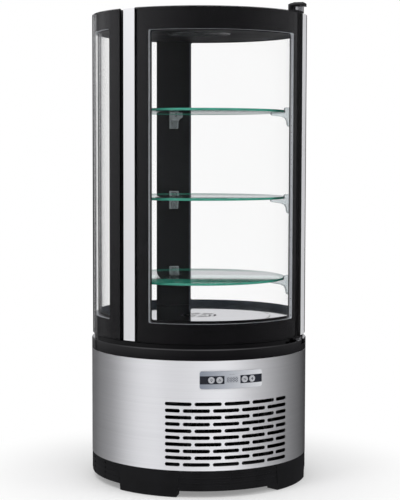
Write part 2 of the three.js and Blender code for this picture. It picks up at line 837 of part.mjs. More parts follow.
// A clip-on bracket: a root on the pillar, a tongue under the shelf, a lip behind its edge and a hook in the slot
function bracket(name, shelfBottom) {
  const root = pillarFace - fitGap;
  const lip = shelfRadius + 2 * fitGap;
  const seat = shelfBottom - fitGap;
  const under = bracketUnderShares.map(([reachShare, dropShare]) => (
    [pillarFace - reachShare * bracketReach, seat - dropShare * bracketDrop]
  ));
  const side = [
    [root, seat + bracketLip],
    [lip + bracketLipCorner, seat + bracketLip],
    [lip, seat + bracketLip - bracketLipCorner],
    [lip, seat],
    ...under,
    [root, seat - bracketDrop],
  ];
  const hook = new THREE.BoxGeometry(hookWidth, hookDepth, hookHeight);
  hook.translate(0, fitGap - root - hookDepth / 2, shelfBottom);
  return piece(name, join(radialPlate(side, bracketWidth), hook), finishes.bracket);
}

function shelf(name, bottom) {
  const rim = shelfRadius - shelfEdge;
  const top = bottom + shelfThickness;
  const profile = [
    [0, bottom],
    [rim, bottom],
    [shelfRadius, bottom + shelfEdge],
    [shelfRadius, top - shelfEdge],
    [rim, top],
    [0, top],
  ];
  return piece(name, turned(profile), finishes.shelfGlass);
}

function roof() {
  const recess = lampRadius + fitGap;
  const profile = [
    [0, roofBottom + lampThickness + fitGap],
    [recess, roofBottom + lampThickness + fitGap],
    [recess, roofBottom],
    [frameRadius, roofBottom],
    [frameRadius, roofTop - roofEdge],
    [frameRadius - roofEdge, roofTop],
    [0, roofTop],
  ];
  return piece('roof_cap', turned(profile), finishes.blackGloss);
}

function ceilingLamp() {
  const disc = rod(lampRadius, roofBottom, roofBottom + lampThickness, bayCount * facetsPerBay);
  return piece('ceiling_lamp', disc, finishes.lamp);
}

// Panes: each bay has an outer and an inner glass, a spacer frame between them, a seal behind and a strip beside

function pane({ name, strip, stripSide, gapSide, top, bottom }, bay) {
  const inset = (length) => arcAngle(length, glassRadius);
  const nextStrip = bay + 1 < bayCount ? paneBorders[bay + 1].strip : paneBorders[0].strip + 360;
  const paneStart = strip + stripHalf + arcAngle(fitGap, innerGlassRadius);
  const paneEnd = nextStrip - stripHalf - inset(fingerGap);
  const onDoor = bay === 0;
  const flapEnd = onDoor ? hingeAngle - swingAngle : nextStrip - stripHalf - inset(fitGap);
  const flap = THREE.MathUtils.degToRad(flapEnd - paneEnd) * glassRadius;
  const spacer = {
    inner: cavityInner + fitGap,
    outer: cavityOuter - fitGap,
    from: paneStart + inset(spacerInset),
    to: paneEnd - inset(spacerInset),
    bottom: paneBottom + spacerInset,
    top: rimHeight - spacerInset,
    fromSide: stripSide - spacerInset,
    toSide: gapSide - spacerInset,
    low: bottom - spacerInset,
    high: top - spacerInset,
  };
  const seal = {
    inner: sealInner,
    outer: sealOuter,
    from: paneStart + inset(sealInset),
    to: flapEnd,
    bottom: paneBottom + sealInset,
    top: roofTop - roofEdge - sealInset,
    fromSide: sealWidth,
    toSide: sealWidth + sealInset + flap,
    low: sealWidth,
    high: sealWidth,
  };
  const outerGlass = sector(cavityOuter, glassRadius, paneStart, paneEnd, paneBottom, rimHeight);
  const innerGlass = sector(
    innerGlassRadius,
    cavityInner,
    paneStart + inset(innerGlassInset),
    paneEnd - inset(innerGlassInset),
    paneBottom + innerGlassInset,
    rimHeight - innerGlassInset,
  );
  const stripName = onDoor ? 'door_handle_strip' : `${name}_strip`;
  const stripBack = onDoor ? innerGlassRadius : sealInner;
  return [
    piece(`${name}_outer_glass`, outerGlass, finishes.glass),
    piece(`${name}_inner_glass`, innerGlass, finishes.glass),
    piece(`${name}_spacer_frame`, curvedFrame(spacer), finishes.blackGloss),
    piece(`${name}_seal`, curvedFrame(seal), finishes.rubber),
    piece(stripName, stripProfile(stripBack, strip), finishes.aluminium),
  ];
}

// A hollow upright profile beside the pane's edge, a little proud of the glass
function stripProfile(back, centre) {
  const front = glassRadius + stripProud;
  const bottom = paneBottom + stripInset;
  const top = rimHeight - stripInset;
  const wall = arcAngle(stripWall, glassRadius);
  const body = sector(back, front, centre - stripHalf, centre + stripHalf, bottom, top);
  const hollow = sector(
    back + stripWall,
    front - stripWall,
    centre - stripHalf + wall,
    centre + stripHalf - wall,
    bottom - cutOverrun,
    top + cutOverrun,
  );
  return cut(body, hollow);
}

// Door hinges: a knuckle on a leaf at each end of the door, on pins held by the roof and by the base ring

function hingeLeaf(name, leafBottom, knuckleBottom, knuckleTop) {
  const leafTop = leafBottom + leafThickness;
  const from = hingeAngle - arcAngle(leafLength, glassRadius);
  const leaf = sector(innerGlassRadius + fitGap, glassRadius - fitGap, from, hingeAngle, leafBottom, leafTop);
  const axis = polar(hingeRadius, hingeAngle);
  const low = Math.min(leafBottom, knuckleBottom);
  const high = Math.max(leafTop, knuckleTop);
  const knuckle = rod(knuckleRadius, low, high);
  const bore = rod(hingePinRadius + fitGap, low - cutOverrun, high + cutOverrun);
  const leafPart = join(leaf, knuckle.translate(axis.x, axis.y, 0));
  return piece(name, cut(leafPart, bore.translate(axis.x, axis.y, 0)), finishes.chrome);
}

function topHinge() {
  const leafBottom = rimHeight + fitGap;
  const knuckleTop = leafBottom + leafThickness + topKnuckleHeight;
  const plateBottom = knuckleTop + fitGap;
  const plateTop = plateBottom + topBracketPlate;
  const legOuter = hingeRadius - knuckleRadius - knuckleClearance;
  const legInner = legOuter - topBracketLeg;
  const end = hingeRadius + topBracketReach;
  const foot = roofTop + fitGap;
  const side = [
    [legInner - topBracketFoot, foot],
    [legOuter, foot],
    [legOuter, plateBottom],
    [end, plateBottom],
    [end, plateTop - topBracketSlope / 2],
    [end - topBracketSlope / 2, plateTop],
    [legOuter + topBracketSlope, plateTop],
    [legInner, plateTop - topBracketSlope],
    [legInner, foot + topBracketPlate],
    [legInner - topBracketFoot, foot + topBracketPlate],
  ];
  const pin = rod(hingePinRadius, leafBottom, plateTop - topBracketPlate / 2).translate(0, -hingeRadius, 0);
  const mount = piece('top_hinge_bracket', join(radialPlate(side, topBracketWidth), pin), finishes.blackGloss);
  return [hingeLeaf('door_top_hinge_leaf', leafBottom, leafBottom, knuckleTop), turnedGroup(hingeAngle, mount)];
}

function bottomHinge() {
  const leafTop = paneBottom - fitGap;
  const leafBottom = leafTop - leafThickness;
  const plateBottom = ringTop - notchDepth + fitGap;
  const plateTop = plateBottom + bottomBracketPlate;
  const plate = rod(knuckleRadius, plateBottom, plateTop);
  const pin = rod(hingePinRadius, plateBottom, leafTop);
  const mount = piece('bottom_hinge_bracket', join(plate, pin).translate(0, -hingeRadius, 0), finishes.blackGloss);
  const leaf = hingeLeaf('door_bottom_hinge_leaf', leafBottom, plateTop + fitGap, leafTop);
  return [leaf, turnedGroup(hingeAngle, mount)];
}

// The whole cabinet

const cabinet = new THREE.Group();
cabinet.name = 'round_display_cabinet';

cabinet.add(plinthRing(), basePan(), frontWrap(), rearCover(), powerInlet(), topRing());
cabinet.add(controlPanel(), displayWindow(), ...buttons(), controllerBox());
cabinet.add(insulatedTub(), cabinFloor(), evaporator(), ...cabinFan());
cabinet.add(compressor(), condenser(), condenserFan());
cabinet.add(roof(), ceilingLamp(), ...topHinge(), ...bottomHinge());

for (const [bay, borders] of paneBorders.entries()) {
  cabinet.add(...pane(borders, bay));
}

for (const [bay, side] of ['right', 'rear', 'left'].entries()) {
  const brackets = shelfUndersides.map((bottom, level) => bracket(`shelf_${level + 1}_${side}_bracket`, bottom));
  cabinet.add(turnedGroup(pillarAngle + bay * bayAngle, pillar(`${side}_pillar`), ...brackets));
}

for (const [level, bottom] of shelfUndersides.entries()) {
  cabinet.add(shelf(`glass_shelf_${level + 1}`, bottom));
}

export default cabinet;
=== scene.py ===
"""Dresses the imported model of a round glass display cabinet: final shapes, materials, light and camera."""
import math

import bmesh
import bpy
from mathutils import Matrix, Vector
from mathutils.geometry import tessellate_polygon


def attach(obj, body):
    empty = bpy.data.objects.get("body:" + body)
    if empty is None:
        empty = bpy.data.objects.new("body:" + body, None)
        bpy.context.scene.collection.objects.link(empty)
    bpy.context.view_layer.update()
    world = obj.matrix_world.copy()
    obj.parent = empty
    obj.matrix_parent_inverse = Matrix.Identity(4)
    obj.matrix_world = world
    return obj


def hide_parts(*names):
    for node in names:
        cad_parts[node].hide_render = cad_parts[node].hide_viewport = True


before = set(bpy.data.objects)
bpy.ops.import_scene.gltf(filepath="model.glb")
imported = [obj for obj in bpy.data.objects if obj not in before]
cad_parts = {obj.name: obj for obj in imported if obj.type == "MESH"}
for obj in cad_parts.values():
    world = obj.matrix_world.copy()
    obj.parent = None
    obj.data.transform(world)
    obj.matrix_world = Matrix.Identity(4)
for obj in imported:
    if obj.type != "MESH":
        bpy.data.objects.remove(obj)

bl_info = {
    "name": "Round glass display cabinet",
    "version": (1, 0, 0),
    "blender": (4, 5, 0),
    "location": "View3D > Sidebar > Cabinet",
    "description": "Dresses the packed model of a round glass display cabinet",
    "category": "Object",
}

# The cabinet's sizes in millimetres; angles are in degrees from the front, growing to the right.
MM = 0.001
DRUM = 241.0
GLASS = 239.0
BEHIND = 180.0
SHEET_INNER, SHEET_LOW, SHEET_HIGH = 239.8, 57.3, 290.7
WRAP_HALF, COVER_HALF = 115.0, 64.85
PLINTH_LOW, PLINTH_HIGH = 14.0, 56.0
FIRST_FOOT, FOOT_HALF, FOOT_LEAN, FOOT_STEPS = -46.4, 17.83, 1.2, 18
SLOT_START, SLOT_END, SLOT_BRIDGE, SLOT_STAGGER = -150.0, 138.2, 6.1, -0.39
LOUVRE_ROWS, LOUVRE_LENGTH, LOUVRE_BRIDGE, LOUVRE_PITCH = 5, 70.0, 24.0, 22.0
SHORTEST_SLOT = 14.0
RING_BORE, RING_NOTCH = 209.4, 2.93
PANE_BOTTOM, PANE_TOP = 325.0, 1029.0
OUTER_GLASS, INNER_GLASS = (235.0, 239.0), (223.0, 227.0)
SEAL_TOP = 1021.0
STRIP_WIDTH, FINGER_GAP, DOOR_FLAP = 30.7, 12.5, 5.4
HINGE_ANGLE, HINGE_RADIUS = 54.2, 227.0
PIN_RADIUS, KNUCKLE_BORE = 3.9, 4.5
PILLAR_ANGLE, PILLAR_TURN = 58.7, 120.0
PANEL_ANGLE, PANEL_HEIGHT, PANEL_HALF = -1.5, 250.5, 69.5
BUTTON_ANGLES = (-12.181, -8.055, 5.055, 9.181)
SHELF_HEIGHTS = (444.42, 624.6, 815.49)
SHELF_THICKNESS = 5.0
SIDES = ("right", "rear", "left")
BORDER_SILL, DOT_PITCH = 4.4, 3.6
NECK_TOP, FLOOR_TOP = 356.7, 360.0
# Each bay's name, body, strip angle and borders: beside the strip, beside the finger gap, above and below
BAYS = (
    ("front_door", "door", -56.7, 31.5, 26.9, 47.0, 42.0),
    ("right_pane", "cabinet", 54.2, 34.2, 18.4, 39.0, 40.0),
    ("left_pane", "cabinet", 178.6, 18.5, 43.1, 39.0, 41.0),
)


# ---------------------------------------------------------------- shapes


def at(radius, angle, height=0.0):
    """A point of the drum."""
    turn = math.radians(angle)
    return Vector((radius * math.sin(turn), -radius * math.cos(turn), height))


def arc(length, radius=DRUM):
    """The angle that a length takes up on a circle."""
    return math.degrees(length / radius)


def along(angle, radius=DRUM):
    """The length that an angle takes up on a circle."""
    return math.radians(angle) * radius


def loft(shape, loops, whole=False):
    """Joins loops of points with bands of faces; the ends are closed, or joined in a whole ring."""
    rings = [[shape.verts.new(point) for point in loop] for loop in loops]
    for low, high in zip(rings, rings[1:] + (rings[:1] if whole else [])):
        for i in range(len(low)):
            k = (i + 1) % len(low)
            shape.faces.new((low[i], low[k], high[k], high[i]))
    if not whole:
        shape.faces.new(rings[0])
        shape.faces.new(rings[-1])


def swept(shape, profile, start=0.0, end=360.0, step=2.0):
    """Sweeps a closed profile of (radius, height) round the drum."""
    whole = end - start > 359.9
    count = max(2, math.ceil((end - start) / step))
    angles = [start + (end - start) * i / count for i in range(count if whole else count + 1)]
    loft(shape, [[at(r, angle, z) for r, z in profile] for angle in angles], whole)


def turned(shape, profile, count=128):
    """Turns an open profile of (radius, height) about the axis, and closes both ends with flat discs."""
    loft(shape, [[at(r, 360.0 * i / count, z) for i in range(count)] for r, z in profile])


def raised(shape, outline, low, high):
    """Raises a plan outline of (x, y) from one height to another."""
    loft(shape, [[(x, y, z) for x, y in outline] for z in (low, high)])


def webbed(shape, outline, half):
    """Gives a side outline of (radius, height) a thickness, at the front."""
    loft(shape, [[(across, -r, z) for r, z in outline] for across in (-half, half)])


def block(shape, low, high):
    """A block between two corners."""
    (x0, y0, z0), (x1, y1, z1) = low, high
    raised(shape, [(x0, y0), (x1, y0), (x1, y1), (x0, y1)], z0, z1)


def rod(shape, radius, start, end, count=24, ease=0.4):
    """A round rod between two points, with eased ends."""
    start, end = Vector(start), Vector(end)
    length = (end - start).length
    turn = (end - start).normalized().to_track_quat("Z", "Y").to_matrix().to_4x4()
    part = bmesh.new()
    core = radius - ease
    turned(part, [(core, 0.0), (radius, ease), (radius, length - ease), (core, length)], count)
    bmesh.ops.transform(part, matrix=Matrix.Translation(start) @ turn, verts=part.verts)
    merge(shape, part)


def merge(shape, part):
    """Adds one bmesh to another, and frees the part."""
    mesh = bpy.data.meshes.new("part")
    part.to_mesh(mesh)
    part.free()
    shape.from_mesh(mesh)
    bpy.data.meshes.remove(mesh)


def turn_to(shape, angle, rise=0.0):
    """Turns what was made at the front to its place on the drum, and raises it."""
    matrix = Matrix.Rotation(math.radians(angle), 3, "Z")
    bmesh.ops.rotate(shape, verts=shape.verts, cent=(0, 0, 0), matrix=matrix)
    for vert in shape.verts:
        vert.co.z += rise


def eased(shape, width, segments=2, angle=40.0):
    """Rounds every edge that is sharper than the angle."""
    limit = math.radians(angle)
    edges = [e for e in shape.edges if len(e.link_faces) == 2 and e.calc_face_angle(0.0) > limit]
    bmesh.ops.bevel(
        shape, geom=edges, offset=width, segments=segments, profile=0.5, affect="EDGES", clamp_overlap=True
    )


def rounded(left, right, low, high, corner, turns=6):
    """A rectangle with round corners, as a loop of points."""
    points = []
    corners = ((right, low, -90), (right, high, 0), (left, high, 90), (left, low, 180))
    for (across, up, first) in corners:
        centre_a = across - corner if across == right else across + corner
        centre_u = up + corner if up == low else up - corner
        for i in range(turns + 1):
            turn = math.radians(first + 90.0 * i / turns)
            points.append((centre_a + corner * math.cos(turn), centre_u + corner * math.sin(turn)))
    return points


def circle(across, up, radius, count=32):
    """A round loop of points."""
    turns = [2 * math.pi * i / count for i in range(count)]
    return [(across + radius * math.cos(t), up + radius * math.sin(t)) for t in turns]


def flat_plate(loops, inner, outer):
    """A flat plate of the given outline and holes, between two depths; across is arc length."""
    flat = bmesh.new()
    points = [p for loop in loops for p in loop]
    front = [flat.verts.new((s, outer, z)) for s, z in points]
    back = [flat.verts.new((s, inner, z)) for s, z in points]
    for a, b, c in tessellate_polygon([[Vector((s, z, 0)) for s, z in loop] for loop in loops]):
        flat.faces.new((front[a], front[b], front[c]))
        flat.faces.new((back[a], back[c], back[b]))
    first = 0
    for loop in loops:
        for i in range(len(loop)):
            a, b = first + i, first + (i + 1) % len(loop)
            flat.faces.new((front[a], front[b], back[b], back[a]))
        first += len(loop)
    return flat


def bent(shape, flat, radius, step=1.5, turn=0.0):
    """Cuts a flat plate into narrow columns and bends it round the drum, then adds it to the shape."""
    width = math.radians(step) * radius
    low = min(v.co.x for v in flat.verts)
    high = max(v.co.x for v in flat.verts)
    for i in range(math.floor(low / width) + 1, math.ceil(high / width)):
        geometry = flat.verts[:] + flat.edges[:] + flat.faces[:]
        bmesh.ops.bisect_plane(flat, geom=geometry, dist=1e-5, plane_co=(i * width, 0, 0), plane_no=(1, 0, 0))
    for vert in flat.verts:
        vert.co = at(vert.co.y, math.degrees(vert.co.x / radius) + turn, vert.co.z)
    merge(shape, flat)


def wrapped(shape, loops, inner, outer, radius, step=1.5, turn=0.0):
    """A plate of the given outline and holes, wrapped round the drum."""
    bent(shape, flat_plate(loops, inner, outer), radius, step, turn)


def piece(name, shape, body, finishes, stands_for=(), crease=32.0):
    """Makes a bmesh in millimetres a finished piece that rides on a body."""
    bmesh.ops.recalc_face_normals(shape, faces=shape.faces)
    mesh = metres(name, shape)
    for kind in finishes:
        mesh.materials.append(finish(kind))
    mesh.shade_smooth()
    mesh.set_sharp_from_angle(angle=math.radians(crease))
    made = bpy.data.objects.new(name, mesh)
    bpy.context.scene.collection.objects.link(made)
    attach(made, body)
    if stands_for:
        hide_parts(*stands_for)
    return made


def metres(name, shape):
    """Makes a bmesh in millimetres a mesh in metres, and frees it."""
    bmesh.ops.transform(shape, matrix=Matrix.Scale(MM, 4), verts=shape.verts)
    mesh = bpy.data.meshes.new(name)
    shape.to_mesh(mesh)
    shape.free()
    return mesh


def outward(face):
    """How squarely a face looks away from the axis; negative towards it."""
    return face.normal.xy.dot(face.center.xy) / face.center.xy.length


def finish_node(name, kind):
    """Gives a carried-over node a better material."""
    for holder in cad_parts[name].material_slots:
        holder.material = finish(kind)


# ---------------------------------------------------------------- node trees


def fill(tree, node, sockets):
    """Sets or links a node's sockets; a node as a value stands for its first output."""
    for key, value in sockets.items():
        if isinstance(value, bpy.types.Node):
            value = value.outputs[0]
        if isinstance(value, bpy.types.NodeSocket):
            tree.links.new(value, node.inputs[key])
        else:
            node.inputs[key].default_value = value


def put(tree, kind, sockets=None, **settings):
    """Adds a node, sets its settings, and sets or links its sockets."""
    node = tree.nodes.new(kind)
    for key, value in settings.items():
        setattr(node, key, value)
    fill(tree, node, sockets or {})
    return node


def sums(tree, operation, first, second=0.0, third=0.0):
    """One Math node."""
    return put(tree, "ShaderNodeMath", {0: first, 1: second, 2: third}, operation=operation)


def scaled(tree, vector, factor):
    """A vector times a number."""
    return put(tree, "ShaderNodeVectorMath", {0: vector, "Scale": factor}, operation="SCALE")


def mapped(tree, value, start, end, low=0.0, high=1.0, kind="LINEAR"):
    """Maps start to end on to low to high."""
    return put(tree, "ShaderNodeMapRange", {
        "Value": value, "From Min": start, "From Max": end, "To Min": low, "To Max": high,
    }, interpolation_type=kind)


def attribute(tree, name):
    """A number that the geometry carries."""
    return put(tree, "GeometryNodeInputNamedAttribute", {"Name": name}, data_type="FLOAT")


def marked(tree, geometry, name, value):
    """Makes the points of a geometry carry a number."""
    return put(tree, "GeometryNodeStoreNamedAttribute", {"Geometry": geometry, "Name": name, "Value": value},
               data_type="FLOAT", domain="POINT")


def compared(tree, operation, first, second):
    """Compares two numbers."""
    return put(tree, "FunctionNodeCompare", {0: first, 1: second}, operation=operation, data_type="FLOAT")


def copies(tree, points, item, **more):
    """Puts an item on every point."""
    return put(tree, "GeometryNodeInstanceOnPoints", {"Points": points, "Instance": item, **more})


def new_growth(name, geometry, **labels):
    """A geometry nodes tree with inputs named by kind; gives the tree and its input sockets by name."""
    tree = bpy.data.node_groups.new(name, "GeometryNodeTree")
    for kind, group in {"Geometry": (geometry,), **labels, "Material": ("Finish",)}.items():
        for label in group:
            tree.interface.new_socket(label, in_out="INPUT", socket_type="NodeSocket" + kind)
    tree.interface.new_socket("Geometry", in_out="OUTPUT", socket_type="NodeSocketGeometry")
    return tree, put(tree, "NodeGroupInput").outputs


def close_growth(tree, geometry, given, drills=None):
    """Cuts the drills out of the geometry, and ends a tree in Realize Instances and Set Material."""
    if drills:
        geometry = put(tree, "GeometryNodeMeshBoolean", {"Mesh 1": geometry, "Mesh 2": drills},
                       operation="DIFFERENCE", solver="EXACT")
    real = put(tree, "GeometryNodeRealizeInstances", {0: geometry})
    dressed = put(tree, "GeometryNodeSetMaterial", {"Geometry": real, "Material": given["Finish"]})
    put(tree, "NodeGroupOutput", {"Geometry": dressed})
    return tree


def grid(tree, given):
    """Points for all columns and rows, and each point's column and row."""
    line = put(tree, "GeometryNodePoints", {"Count": sums(tree, "MULTIPLY", given["Columns"], given["Rows"])})
    index = put(tree, "GeometryNodeInputIndex")
    share = sums(tree, "DIVIDE", sums(tree, "ADD", index, 0.01), given["Columns"])
    return line, sums(tree, "MODULO", index, given["Columns"]), sums(tree, "FLOOR", share)


def repeat_tree():
    """Repeats an item round the upright axis in columns, and along a move in rows."""
    tree, given = new_growth("Repeat item", "Item", Int=("Columns", "Rows"),
                             Float=("First angle", "Angle step"), Vector=("Row move",))
    line, column, row = grid(tree, given)
    degrees = sums(tree, "MULTIPLY_ADD", column, given["Angle step"], given["First angle"])
    angle = sums(tree, "RADIANS", degrees)
    turn = put(tree, "FunctionNodeAxisAngleToRotation", {"Axis": (0.0, 0.0, 1.0), "Angle": angle})
    move = scaled(tree, given["Row move"], row)
    placed = put(tree, "GeometryNodeSetPosition", {"Geometry": line, "Position": move})
    return close_growth(tree, copies(tree, placed, given["Item"], Rotation=turn), given)


def slot_field_tree():
    """Cuts staggered rows of round-ended slots, clipped at the field's ends, in a flat sheet."""
    tree, given = new_growth("Cut slot field", "Sheet", Int=("Rows", "Columns"), Float=(
        "First height", "Row pitch", "Slot length", "Slot height", "Bridge", "Stagger", "Field start",
        "Field end", "Shortest slot", "Depth",
    ))
    line, column, row = grid(tree, given)
    pitch = sums(tree, "ADD", given["Slot length"], given["Bridge"])
    even = sums(tree, "SUBTRACT", 1.0, sums(tree, "MODULO", row, 2.0))
    shift = sums(tree, "MULTIPLY", sums(tree, "MULTIPLY", given["Stagger"], pitch), even)
    begin = sums(tree, "ADD", sums(tree, "MULTIPLY_ADD", column, pitch, given["Field start"]), shift)
    end = sums(tree, "MINIMUM", sums(tree, "ADD", begin, given["Slot length"]), given["Field end"])
    begin = sums(tree, "MAXIMUM", begin, given["Field start"])
    centre = sums(tree, "DIVIDE", sums(tree, "ADD", begin, end), 2.0)
    height = sums(tree, "MULTIPLY_ADD", row, given["Row pitch"], given["First height"])
    radius = sums(tree, "DIVIDE", given["Slot height"], 2.0)
    half = sums(tree, "DIVIDE", sums(tree, "SUBTRACT", end, begin), 2.0)
    reach = sums(tree, "SUBTRACT", half, radius)
    place = put(tree, "ShaderNodeCombineXYZ", {0: centre, 1: given["Depth"], 2: height})
    reaching = marked(tree, line, "reach", reach)
    placed = put(tree, "GeometryNodeSetPosition", {"Geometry": reaching, "Position": place})
    shortest = sums(tree, "DIVIDE", given["Shortest slot"], 2.0)
    short = compared(tree, "LESS_THAN", sums(tree, "ADD", reach, radius), shortest)
    kept = put(tree, "GeometryNodeDeleteGeometry", {"Geometry": placed, "Selection": short})
    drill = put(tree, "GeometryNodeMeshCylinder", {"Vertices": 24, "Radius": radius, "Depth": 60.0})
    level = put(tree, "GeometryNodeTransform", {
        "Geometry": drill, "Rotation": (math.radians(90), math.radians(7.5), 0.0),
    })
    across = put(tree, "ShaderNodeSeparateXYZ", {0: put(tree, "GeometryNodeInputPosition")})
    sided = marked(tree, level, "side", sums(tree, "SIGN", across))
    real = put(tree, "GeometryNodeRealizeInstances", {0: copies(tree, kept, sided)})
    offset = sums(tree, "MULTIPLY", attribute(tree, "side"), attribute(tree, "reach"))
    stretch = put(tree, "ShaderNodeCombineXYZ", {0: offset})
    slots = put(tree, "GeometryNodeSetPosition", {"Geometry": real, "Offset": stretch})
    return close_growth(tree, given["Sheet"], given, slots)


def pierce_tree():
    """Cuts the faces marked as a drill out of the rest, in copies all round the upright axis."""
    tree, given = new_growth("Pierce in a ring", "Plate and drill", Int=("Count",), Float=("Angle step",))
    is_drill = compared(tree, "GREATER_THAN", attribute(tree, "drill"), 0.5)
    parts = put(tree, "GeometryNodeSeparateGeometry", {
        "Geometry": given["Plate and drill"], "Selection": is_drill,
    }, domain="FACE")
    line = put(tree, "GeometryNodePoints", {"Count": given["Count"]})
    angle = sums(tree, "MULTIPLY", put(tree, "GeometryNodeInputIndex"), given["Angle step"])
    turn = put(tree, "ShaderNodeCombineXYZ", {2: angle})
    drills = put(tree, "GeometryNodeRealizeInstances", {0: copies(tree, line, parts, Rotation=turn)})
    return close_growth(tree, parts.outputs[1], given, drills)


def grown(name, maker, values, source):
    """Evaluates a tree once on a bmesh, which it frees, and gives the result as a bmesh."""
    tree = bpy.data.node_groups.get(name) or maker()
    mesh = bpy.data.meshes.new("item")
    bmesh.ops.recalc_face_normals(source, faces=source.faces)
    source.to_mesh(mesh)
    source.free()
    holder = bpy.data.objects.new("holder", mesh)
    bpy.context.scene.collection.objects.link(holder)
    modifier = holder.modifiers.new("Growth", "NODES")
    modifier.node_group = tree
    sockets = {s.name: s.identifier for s in tree.interface.items_tree if s.in_out == "INPUT"}
    for label, value in values.items():
        modifier[sockets[label]] = value
    graph = bpy.context.evaluated_depsgraph_get()
    result = bpy.data.meshes.new_from_object(holder.evaluated_get(graph))
    holder.modifiers.remove(modifier)
    shape = bmesh.new()
    shape.from_mesh(result)
    for face in shape.faces:
        face.material_index = 0
    bpy.data.objects.remove(holder)
    bpy.data.meshes.remove(mesh)
    bpy.data.meshes.remove(result)
    if not shape.faces:
        raise RuntimeError("the tree " + tree.name + " grew nothing")
    return shape


def repeated(item, columns, rows=1, first=0.0, step=0.0, move=(0.0, 0.0, 0.0)):
    """Repeats a bmesh with the Repeat item tree."""
    return grown("Repeat item", repeat_tree, {
        "Columns": columns, "Rows": rows, "First angle": first, "Angle step": step, "Row move": move,
    }, item)


# ---------------------------------------------------------------- finishes


def bare_material(name, colour):
    """A new material with an empty tree; gives both."""
    material = bpy.data.materials.new(name)
    material.use_nodes = True
    material.node_tree.nodes.clear()
    material.diffuse_color = colour
    return material, material.node_tree


def start_finish(name, colour, roughness, metallic=0.0, **sockets):
    """A new Principled material; gives the material, its tree and its shader."""
    material, tree = bare_material(name, (*colour, 1.0))
    values = {"Base Color": (*colour, 1.0), "Roughness": roughness, "Metallic": metallic}
    values.update({key.replace("_", " "): value for key, value in sockets.items()})
    shader = put(tree, "ShaderNodeBsdfPrincipled", values)
    put(tree, "ShaderNodeOutputMaterial", {"Surface": shader})
    return material, tree, shader


def own_place(tree):
    """The object's own coordinates, in metres."""
    return put(tree, "ShaderNodeTexCoord").outputs["Object"]


def speckle(tree, scale, detail=3.0, roughness=0.5, stretch=(1, 1, 1)):
    """Noise on the object's own coordinates, finer where the stretch is larger."""
    spread = put(tree, "ShaderNodeMapping", {"Vector": own_place(tree), "Scale": stretch})
    return put(tree, "ShaderNodeTexNoise", {
        "Vector": spread, "Scale": scale, "Detail": detail, "Roughness": roughness,
    })


def spangle(tree):
    """The patches of grey of zinc crystals."""
    cells = put(tree, "ShaderNodeTexVoronoi", {"Vector": own_place(tree), "Scale": 110.0, "Randomness": 1.0})
    return put(tree, "ShaderNodeSeparateColor", {0: cells.outputs["Color"]})


def between(tree, noise, low, high):
    """Maps 0.3 to 0.7 of a noise on to low to high."""
    return mapped(tree, noise, 0.3, 0.7, low, high)


def tinted(tree, noise, dark, light):
    """A colour from dark to light by a noise."""
    return put(tree, "ShaderNodeMix", {
        "Factor": between(tree, noise, 0.0, 1.0), 6: (*dark, 1.0), 7: (*light, 1.0),
    }, data_type="RGBA").outputs[2]


def relief(tree, noise, depth, strength):
    """A bump of that depth in metres."""
    return put(tree, "ShaderNodeBump", {"Height": noise, "Distance": depth, "Strength": strength})


def surface(name, colour, roughness, metallic=0.0, fine=None, broad=None, tint=None, gloss=None, bump=None,
            **sockets):
    """A finish of the table; the fine noise gives the bump, and the broad or else the fine one the rest."""
    material, tree, shader = start_finish(name, colour, roughness, metallic, **sockets)
    fine = speckle(tree, *fine) if fine else spangle(tree)
    broad = speckle(tree, *broad) if broad else fine
    if tint:
        fill(tree, shader, {"Base Color": tinted(tree, broad, *tint)})
    if gloss:
        fill(tree, shader, {"Roughness": between(tree, broad, *gloss)})
    if bump:
        fill(tree, shader, {"Normal": relief(tree, fine, *bump)})
    return material


def plastic(colour, roughness, grain=700.0):
    """The row of moulded plastic in one colour with a light grain."""
    tint = [c * 0.94 for c in colour], [min(1.0, c * 1.04) for c in colour]
    return {"colour": colour, "roughness": roughness, "fine": (grain, 2.0), "broad": (30.0, 3.0),
            "tint": tint, "bump": (0.00003, 0.25)}


